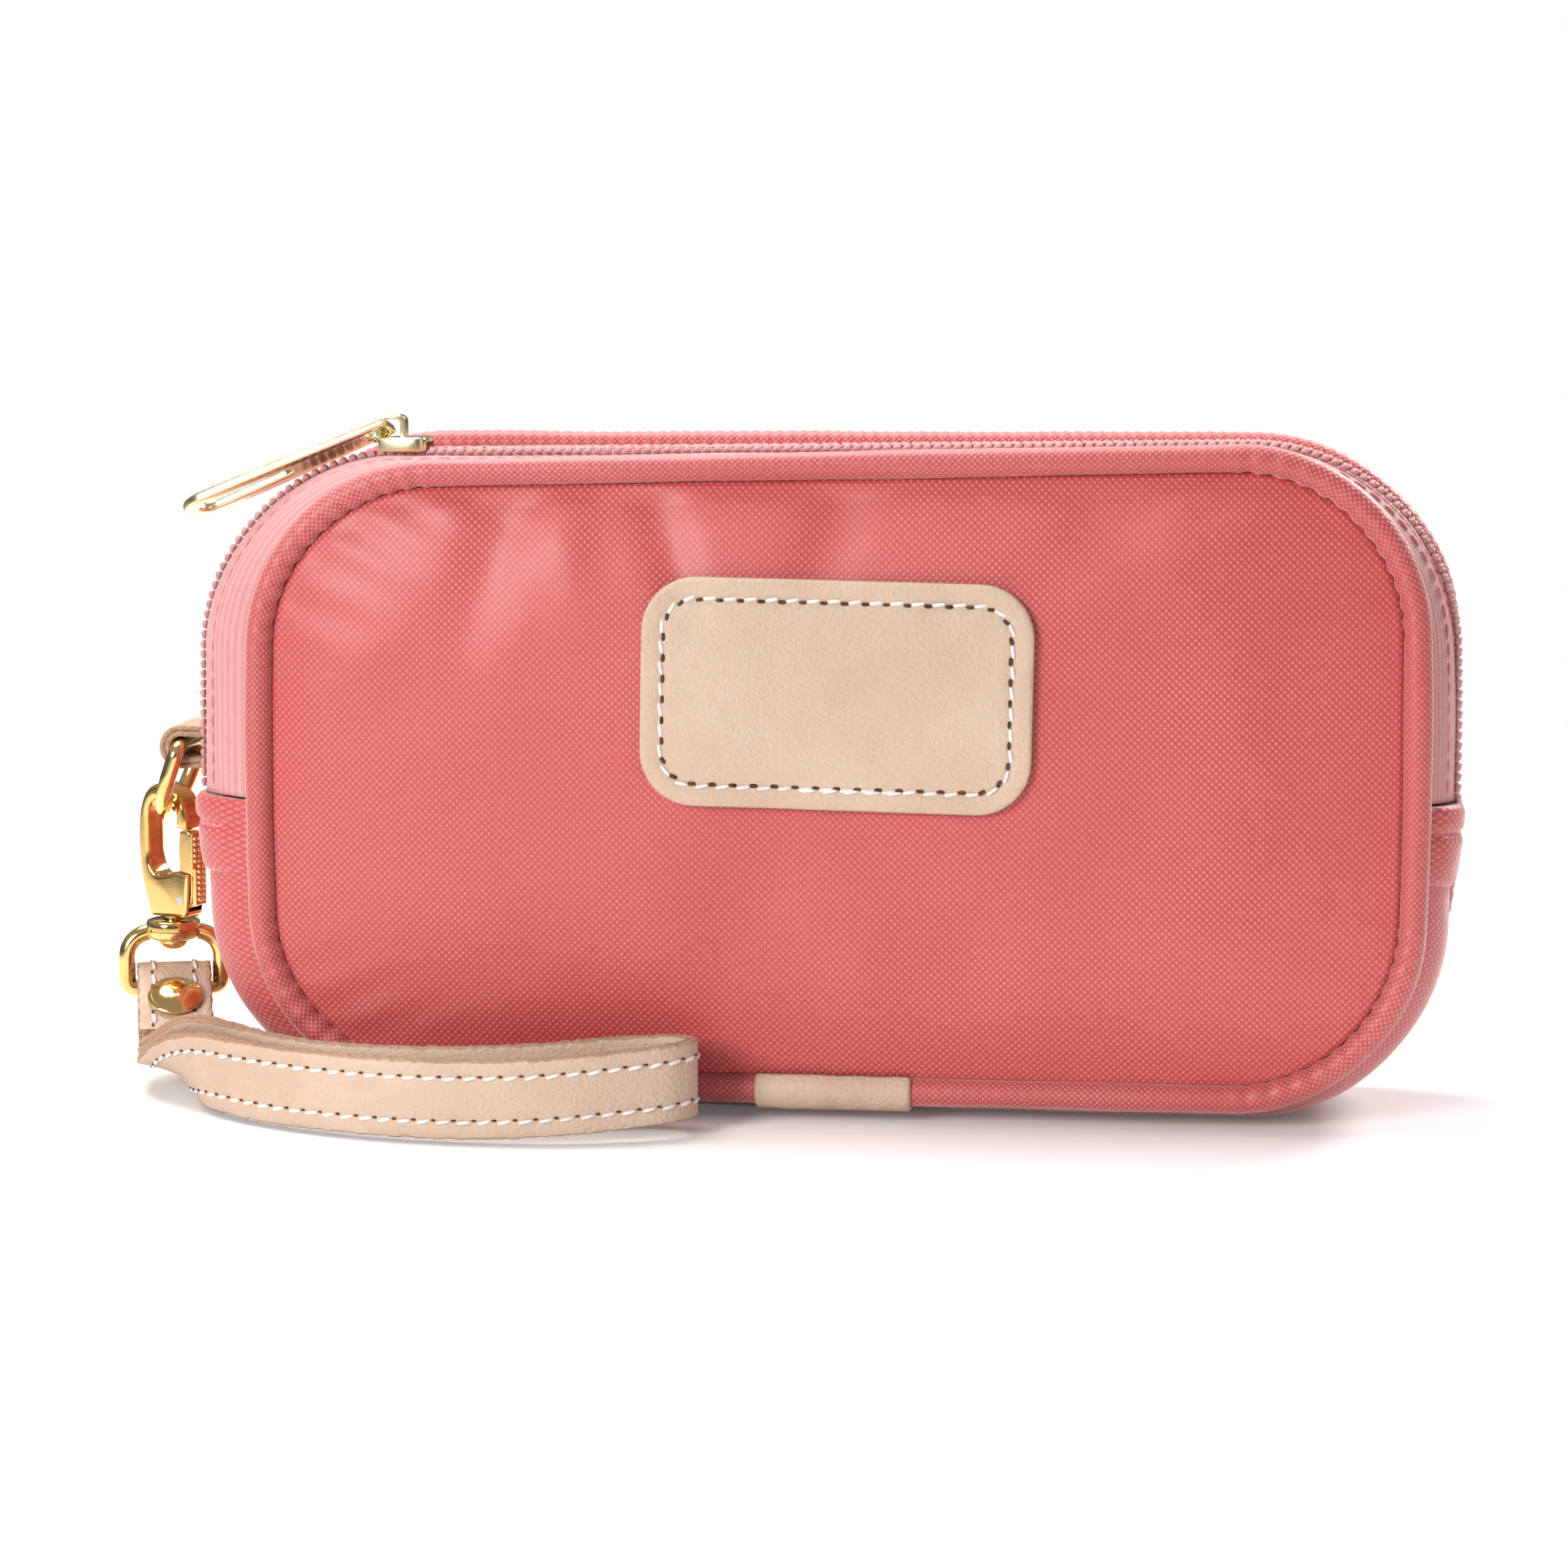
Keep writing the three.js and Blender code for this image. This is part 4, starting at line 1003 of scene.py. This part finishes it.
def d_ring():
    half, drop, corner = RING["half"], RING["drop"], 1.6
    path = [(0, 0), (half - corner, 0)]
    path += arc(half - corner, -corner, corner, 90, 0)
    path += arc(0, half - drop, half, 0, -180)
    path += arc(corner - half, -corner, corner, 180, 90) + [(0, 0)]
    path = spaced(path, 200)
    path[-1] = path[0]
    grid = wire(path, RING["wire"])
    matrix = pose((TAB["x"], HARDWARE_Y, TAB["z"]), RING["tilt"], "Y") @ turned(90, "Z")
    Shape().grid(placed(grid, matrix)).make("gold_d_ring", [GOLD], "ring", ["d_ring"], "gold")


d_ring()

HOOK_PLACE = pose((HOOK["x"], HARDWARE_Y, HOOK["z"]), HOOK["yaw"], "Z")


def snap_hook():
    outline = trace(
        (-2.8, 0), (4.2, 0), (4.7, 0.3, 4.8, 1.2), (5.3, 7.0), (5.2, 7.5, 4.6, 7.5), (2.6, 7.8),
        (0.2, 7.2, -1.4, 7.0), (-3.2, 8, -3.2, 11), (-3.2, 16.6), (-3, 19.8, -0.2, 19.8),
        (2.4, 19.8, 2.7, 17.2), (2.7, 15.2), (3, 14.9, 4.6, 14.9), (5, 15, 5.05, 15.4),
        (5.3, 18.4, 3.4, 20.7), (1.8, 22.3, -0.6, 22.3), (-4.4, 22.1, -5.2, 16.6),
        (-5.9, 10.5, -4.6, 5), (-3.4, 0.6), (-3.2, 0.1, -2.8, 0),
    )
    mesh = plate_mesh("hook", [outline[:-1]], HOOK["thick"], 0.85, 5)
    mesh = carved(mesh, box_mesh((0.6, -1.65, 1.2), (8, 1.65, 9)))
    stand(mesh, HOOK_PLACE)
    finish_piece("snap_hook", mesh, [GOLD], "hook", ["hook_body"], 28)

    gate = trace(
        (2.7, 1.8), (2.8, 1.6, 3.0, 1.6), (4.5, 1.6), (5.2, 2.2, 5.4, 4), (5.4, 12.6),
        (5.3, 14.3, 4.6, 14.6), (3.1, 14.6), (2.7, 14.4, 2.75, 13.8), (2.6, 12),
    )
    stem = plate_mesh("gate", [gate], 2.8, 0.35)
    finish_piece("gate_arm", stand(stem, HOOK_PLACE), [GOLD], "gate", ["hook_gate"], 28)
    # The pad is narrow beside the hook's cheeks, so that it passes between them as the gate swings in.
    pad = trace(
        (-1.35, 2.3), (1.35, 2.3), (1.35, 8.3), (2.1, 8.7), (2.1, 13.8), (2.1, 14.5, 1.4, 14.5),
        (-1.4, 14.5), (-2.1, 14.5, -2.1, 13.8), (-2.1, 8.7), (-1.35, 8.3),
    )
    thumb = plate_mesh("thumb", [pad], 0.9, 0.2)
    thumb.transform(turned(90, "Z"))
    stand(thumb, HOOK_PLACE @ Matrix.Translation((5.75, 0, 0)))
    finish_piece("gate_thumb_plate", thumb, [GOLD], "gate", (), 28)
    knurl = Shape()
    tip, foot = placed([[1, 0, 0], [0, 0, 0]], HOOK_PLACE)
    for z in 3.25 + 0.93 * np.arange(12):
        columns = (1, 2) if z < 8.9 else range(4)
        for place in placed([[6.2, -1.43 + 0.95 * j, z] for j in columns], HOOK_PLACE):
            pellet(knurl, place, (0, 0, 1), tip - foot, 0.86, 0.86, 0.5, rings=4, sides=6)
    knurl.make("gate_knurling", [GOLD], "gate", (), "gold")

    profile = [(0, -5.75), (0.8, -5.65), (1.6, -5.35), (2.25, -4.85), (2.55, -4.4), (2.6, -4.15)]
    profile += [(2.45, -3.95), (1.5, -3.9), (1.4, -3.7), (1.4, -0.3), (1.4, 0.4), (0, 0.4)]
    grid = placed(lathe(profile), HOOK_PLACE)
    Shape().grid(grid).make("swivel_stud", [GOLD], "hook", ["swivel_post"], "gold", sharp=50)


snap_hook()


def swivel_eye():
    half, bar, corner = EYE["half"], EYE["bar_z"] - EYE["arm_z"], 1.6
    shoulder, bend = (-half + 0.3, -0.4, -half, -4.4), (-half, bar, corner - half, bar)
    left = trace((-3.3, 0), shoulder, (-half, bar + corner), bend)
    right = [[-x, z] for x, z in left][::-1]
    path = spaced(left + right, 180)
    place = pose((HOOK["x"], HARDWARE_Y, EYE["arm_z"]), EYE["yaw"], "Z")
    shape = Shape().grid(placed(wire(path, EYE["wire"], closed=False), place))
    profile = [(1.75, -1.2), (3.8, -1.2), (4.25, -1.0), (4.5, -0.55), (4.55, 0.2), (4.25, 0.35)]
    profile += [(4.25, 0.6), (4.5, 0.75), (4.5, 1.4), (4.3, 1.85), (3.9, 2), (1.75, 2), (1.75, -1.2)]
    shape.grid(placed(lathe(profile, 56), place))
    shape.make("strap_eye", [GOLD], "eye", ["swivel_eye"], "gold", sharp=50)


swivel_eye()


def zip_slider():
    lean = math.degrees(math.atan(MIDDLE["lean"]))
    place = pose((SLIDER_X, ZIP_Y, MIDDLE["top"] + MIDDLE["lean"] * SLIDER_X), -lean, "Y")
    top = trace(
        (-4.35, -1.6), (-4.3, -2.6, -3.0, -3.1), (0, -4.1, 2.6, -4.1), (4.3, -4.1, 4.35, -2.4),
        (4.35, -1.0), (3.6, -0.4, 3.4, 0), (3.6, 0.4, 4.35, 1.0), (4.35, 2.4), (4.3, 4.1, 2.6, 4.1),
        (0, 4.1, -3.0, 3.1), (-4.3, 2.6, -4.35, 1.6),
    )
    mesh = plate_mesh("slider", [top], 2.4, 0.45)
    mesh.transform(turned(-90, "X"))
    mesh = carved(mesh, box_mesh((-6, -2.9, -3), (6, 2.9, 0.35)))
    stand(mesh, place @ Matrix.Translation((0, 0, 1.7)))
    finish_piece("slider_shell", mesh, [PALE_BRASS], "slider", ["slider_body"], 30)

    x, z = -4.35, 2.6
    arch = trace(
        (x, z), (x, 5.4), (x + 0.1, 6.45, x + 1.4, 6.45), (x + 3.6, 6.45), (x + 4.9, 6.45, x + 5, 5.4),
        (x + 5, z), (x + 4.1, z), (x + 4.1, 5.0), (x + 4.05, 5.65, x + 3.4, 5.7), (x + 1.6, 5.7),
        (x + 0.9, 5.65, x + 0.85, 5.0), (x + 0.85, z),
    )
    mesh = stand(plate_mesh("bridge", [arch], 2.4, 0.2), place)
    finish_piece("slider_loop", mesh, [PALE_BRASS], "slider", ["slider_bridge"], 30)

    far, end, slot = PULL["length"] - PULL["end"], PULL["end"], PULL["slot"]
    outer = [(-0.5, -2.4), (-0.4, -2.9), (0.1, -3.0), (5, -3.3)]
    outer += quadratic((5, -3.3), (far - 12, -end), (far, -end)) + arc(far, 0, end, -90, 90)
    outer += quadratic((far, end), (far - 12, end), (5, 3.3))
    outer += [(0.1, 3.0), (-0.4, 2.9), (-0.5, 2.4)]
    eye = rounded_outline(3.4, 3.4, 0.9, 40)[:-1] + np.array([2.2, 0])
    hole = arc(far - 0.3, 0, slot, -90, 90) + arc(far - 12.4, 0, slot - 0.5, 90, 270)
    mesh = plate_mesh("pull", [outer, eye.tolist(), hole], 1.5, 0.42, 3)
    mesh.transform(turned(90, "X"))
    pivot = pose((PULL["pivot_x"], 0, PULL["pivot_z"]), 180 - PULL["drop"], "Y")
    stand(mesh, place @ pivot @ turned(PULL["roll"], "X"))
    finish_piece("pull_tab", mesh, [PALE_BRASS], "pull", ["zip_pull"], 35)


zip_slider()


# ---------- wrist strap ----------
YAW, SLOPE = math.radians(EYE["yaw"]), math.radians(STRAP["slope"])
ACROSS = np.array([math.cos(YAW), math.sin(YAW), 0])
AHEAD = np.array([ACROSS[1] * math.cos(SLOPE), -ACROSS[0] * math.cos(SLOPE), -math.sin(SLOPE)])
LIFT = unit(np.cross(AHEAD, ACROSS))
BAR = np.array([HOOK["x"], HARDWARE_Y, EYE["bar_z"]])
STANDING = STRAP["half"] + 0.7


def from_bar(ahead, lift):
    """A point from the eye's bar: ahead along the strap's folded end, and lifted off it."""
    return BAR + AHEAD * ahead + LIFT * lift


def strap_stations():
    """The strap's middle line, and how far it has rolled from flat to standing on edge."""
    pitch, r = STRAP["pitch"], STRAP["fold"]
    rows = [(from_bar(ahead, pitch), 0) for ahead in (STRAP["flap"], 11, 7, 3)]
    for turn in (70, 30, -10, -50, -85):
        a = math.radians(turn)
        rows.append((from_bar(-r * math.cos(a) * 1.02, r * math.sin(a)), 0))
    rows += [(from_bar(ahead, -pitch), 0) for ahead in (3, 7, 11.5)]
    s = STANDING
    rows += [
        (np.array(p), roll)
        for p, roll in (
            ((-105.6, -10, 4.4), 0.2), ((-102.2, -17.5, 5.4), 0.55), ((-96, -25.5, s), 0.85),
            ((-86, -33, s), 1), ((-72, -39.3, s), 1), ((-56, -42.5, s), 1),
            ((-40, -42.3, s + 0.5), 1), ((-28, -39.5, s + 1.4), 1), ((-20, -35.8, s + 2), 1),
            ((-17.6, -31.4, s + 2.2), 1), ((-20.6, -27.8, s + 2), 1), ((-29, -27.6, s + 1.4), 1),
            ((-42, -30.2, s + 0.5), 1), ((-58, -32, s), 1), ((-74, -30.8, s), 1),
            ((-84, -26.6, s + 0.2), 1), ((-92, -20.2, s + 0.5), 0.88), ((-99.2, -15.4, 8.4), 0.58),
            ((-104.6, -10.6, 6.7), 0.22),
        )
    ]
    return rows + [(from_bar(14, -0.35), 0.03), (from_bar(9, 0), 0), (from_bar(5.2, 0), 0)]


def catmull_rom(points, t):
    """A point on a centripetal spline through the points, t from 0 to 1."""
    last = len(points) - 1
    seat = min(int(t * last), last - 1)
    local = t * last - seat
    p1, p2 = points[seat], points[seat + 1]
    p0 = points[seat - 1] if seat > 0 else 2 * points[0] - points[1]
    p3 = points[seat + 2] if seat + 2 <= last else 2 * points[last] - points[last - 1]
    d0, d1, d2 = (math.sqrt(np.linalg.norm(b - a)) for a, b in ((p0, p1), (p1, p2), (p2, p3)))
    m1 = ((p1 - p0) / d0 - (p2 - p0) / (d0 + d1) + (p2 - p1) / d1) * d1
    m2 = ((p2 - p1) / d1 - (p3 - p1) / (d1 + d2) + (p3 - p2) / d2) * d1
    c2 = -3 * p1 + 3 * p2 - 2 * m1 - m2
    c3 = 2 * p1 - 2 * p2 + m1 + m2
    return p1 + m1 * local + c2 * local**2 + c3 * local**3


def strap_frames(steps):
    """The strap's middle line, with the directions across its width and through its plies."""
    stations = strap_stations()
    points = [p for p, _ in stations]
    rolls = np.array([roll for _, roll in stations], float)
    ts = np.linspace(0, 1, steps + 1)
    middle = np.array([catmull_rom(points, t) for t in ts])
    roll = np.interp(ts * (len(points) - 1), np.arange(len(points)), rolls)[:, None]
    along = unit(np.gradient(middle, axis=0))
    across = ACROSS * (1 - roll) - np.array([0, 0, 1]) * roll
    across = unit(across - along * np.sum(across * along, axis=1)[:, None])
    return middle, across, np.cross(along, across)


def wrist_strap():
    steps = 760
    middle, across, inward = strap_frames(steps)
    half, near, far = STRAP["half"], STRAP["near"], STRAP["far"]
    for name, node, a, b, seed in (
        ("strap_outside", "strap_outer_ply", -far, -near, 31.0),
        ("strap_inside", "strap_inner_ply", near, far, 37.0),
    ):
        shape = Shape()
        ply(shape, middle, across, inward, half, a, b, seed)
        shape.make(name, [LEATHER, RAW_EDGE], "strap", [node], "leather")
    faces = {"outside": (-1, 6, steps - 20), "inside": (1, 150, steps - 150)}
    for face, (side, start, end) in faces.items():
        shape = Shape()
        cut = np.s_[start:end]
        for row in (-STITCH_ROW, STITCH_ROW):
            line = middle[cut] + across[cut] * row + inward[cut] * side * (far + 0.02)
            stitch_row(shape, line, inward[cut] * side, **STITCH, hole=0.54)
        nodes = ["strap_thread_left", "strap_thread_right"] if side < 0 else []
        shape.make("strap_stitching_" + face, [THREAD, NEEDLE_HOLE_SHADE], "strap", nodes, "thread")


wrist_strap()


def rivet():
    lift = Vector(LIFT)
    turn = Vector((0, 0, 1)).rotation_difference(lift).to_matrix().to_4x4()
    place = Matrix.Translation(Vector(from_bar(RIVET_AT, 0))) @ turn
    stack = STRAP["pitch"] + STRAP["far"]
    seat = stack + 0.35
    cap = [(0, seat), (4.1, seat), (4.45, seat + 0.15), (4.5, seat + 0.4), (4.3, seat + 0.65)]
    cap += [(3.9, seat + 0.75), (3.5, seat + 0.95), (2.8, seat + 1.35), (1.8, seat + 1.65)]
    cap += [(0.9, seat + 1.78), (0, seat + 1.8)]
    Shape().grid(placed(lathe(cap), place)).make("rivet_dome", [GOLD], "strap", ["rivet_cap"], "gold")
    foot = [(0, -stack - 1.5), (2, -stack - 1.5), (3.3, -stack - 1.35), (3.6, -stack - 1.0)]
    foot += [(3.5, -stack - 0.6), (1.2, -stack - 0.5), (1.2, seat), (0, seat)]
    piece = Shape().grid(placed(lathe(foot), place))
    piece.make("rivet_foot", [GOLD], "strap", ["rivet_post"], "gold", sharp=50)


rivet()

# ---------- frame pieces that keep their shape ----------
KEPT = {
    "gate_pin": STEEL,
    "gate_spring": STEEL,
    "front_seam_binding": LINING,
    "back_seam_binding": LINING,
    "front_lining": LINING,
    "back_lining": LINING,
    "gusset_lining": LINING,
}
for name, finish in KEPT.items():
    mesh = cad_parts[name].data
    mesh.materials.clear()
    mesh.materials.append(finish)


# ---------- floor, light and camera ----------
def floor():
    """A pale floor that takes shadows near the object and fades to plain white further out."""
    mesh = bpy.data.meshes.new("floor")
    low = CAD_BOX[0][2] - 0.0002
    sides = (-6.0, 0.0, 6.0)
    at = [(x, y, low) for x in sides for y in sides]
    faces = [(0, 3, 4, 1), (1, 4, 5, 2), (3, 6, 7, 4), (4, 7, 8, 5)]
    mesh.from_pydata(at, [], faces)
    obj = bpy.data.objects.new("floor", mesh)
    scene.collection.objects.link(obj)
    finish = Finish(
        "pale floor", Base_Color=(0.86, 0.86, 0.86, 1), Roughness=0.7, Specular_IOR_Level=0.1,
        Emission_Color=(1, 1, 1, 1),
    )
    seen = finish.add("LightPath", {}, out="Is Camera Ray")
    finish.put(finish.shader.inputs["Emission Strength"], finish.spread(seen, 0, 1, 0.0, 0.08))
    glow = finish.tree.nodes.new("ShaderNodeEmission")
    finish.put(glow.inputs["Strength"], finish.spread(seen, 0, 1, 0.3, 1))
    reach = finish.add("VectorMath", {0: finish.place}, out="Value", operation="LENGTH")
    blend = finish.tree.nodes.new("ShaderNodeMixShader")
    finish.put(blend.inputs[0], finish.spread(reach, 0.22, 0.55))
    finish.put(blend.inputs[1], finish.shader.outputs[0])
    finish.put(blend.inputs[2], glow.outputs[0])
    finish.put(finish.tree.nodes["Material Output"].inputs[0], blend.outputs[0])
    mesh.materials.append(finish.material)


floor()


def area_light(name, place, aim, size, power):
    data = bpy.data.lights.new(name, "AREA")
    data.shape, data.size, data.energy = "DISK", size, power
    obj = bpy.data.objects.new(name, data)
    scene.collection.objects.link(obj)
    obj.location = place
    obj.rotation_euler = (Vector(aim) - Vector(place)).to_track_quat("-Z", "Y").to_euler()


MIDDLE_OF_BODY = (0, 0, 0.055)
area_light("key", (-0.6, -1.0, 0.45), MIDDLE_OF_BODY, 0.5, 12.5)
area_light("top", (-0.3, 0.2, 1.0), MIDDLE_OF_BODY, 0.7, 13)
area_light("fill", (1.0, -0.8, 0.4), MIDDLE_OF_BODY, 0.9, 1.5)
area_light("back", (0.65, 0.7, 0.75), MIDDLE_OF_BODY, 0.45, 11)


def studio_world():
    """An even pale studio with a dimmer zone low down, so that metal has something to mirror."""
    world = bpy.data.worlds.new("studio")
    scene.world = world
    world.use_nodes = True
    tree = world.node_tree
    nodes, links = tree.nodes, tree.links
    background = nodes["Background"]
    place = nodes.new("ShaderNodeTexCoord")
    parts = nodes.new("ShaderNodeSeparateXYZ")
    links.new(place.outputs["Generated"], parts.inputs[0])
    ramp = nodes.new("ShaderNodeValToRGB")
    ramp.color_ramp.elements[0].position = 0.02
    ramp.color_ramp.elements[0].color = (0.06, 0.06, 0.065, 1)
    ramp.color_ramp.elements[1].position = 0.5
    ramp.color_ramp.elements[1].color = (0.36, 0.36, 0.36, 1)
    links.new(parts.outputs["Z"], ramp.inputs[0])
    path = nodes.new("ShaderNodeLightPath")
    mix = nodes.new("ShaderNodeMix")
    mix.data_type = "RGBA"
    links.new(path.outputs["Is Camera Ray"], mix.inputs[0])
    links.new(ramp.outputs[0], mix.inputs[6])
    mix.inputs[7].default_value = (1, 1, 1, 1)
    links.new(mix.outputs[2], background.inputs["Color"])
    background.inputs["Strength"].default_value = 1.0


studio_world()

AZIMUTH, ELEVATION = math.radians(7), math.radians(7.5)
AIM = Vector((-6.8, 0, 50.7)) * MM
DISTANCE = 0.650
SENSOR, FRAME_WIDTH = 36.0, 0.2525
LEVEL = math.cos(ELEVATION)
away = Vector((math.sin(AZIMUTH) * LEVEL, -math.cos(AZIMUTH) * LEVEL, math.sin(ELEVATION)))
lens = bpy.data.cameras.new("camera")
lens.sensor_width = SENSOR
lens.lens = SENSOR * DISTANCE / FRAME_WIDTH
lens.clip_start, lens.clip_end = 0.01, 30
camera = bpy.data.objects.new("camera", lens)
scene.collection.objects.link(camera)
camera.location = AIM + away * DISTANCE
camera.rotation_euler = (-away).to_track_quat("-Z", "Y").to_euler()
scene.camera = camera
scene.view_settings.view_transform = "Standard"

bpy.context.view_layer.update()
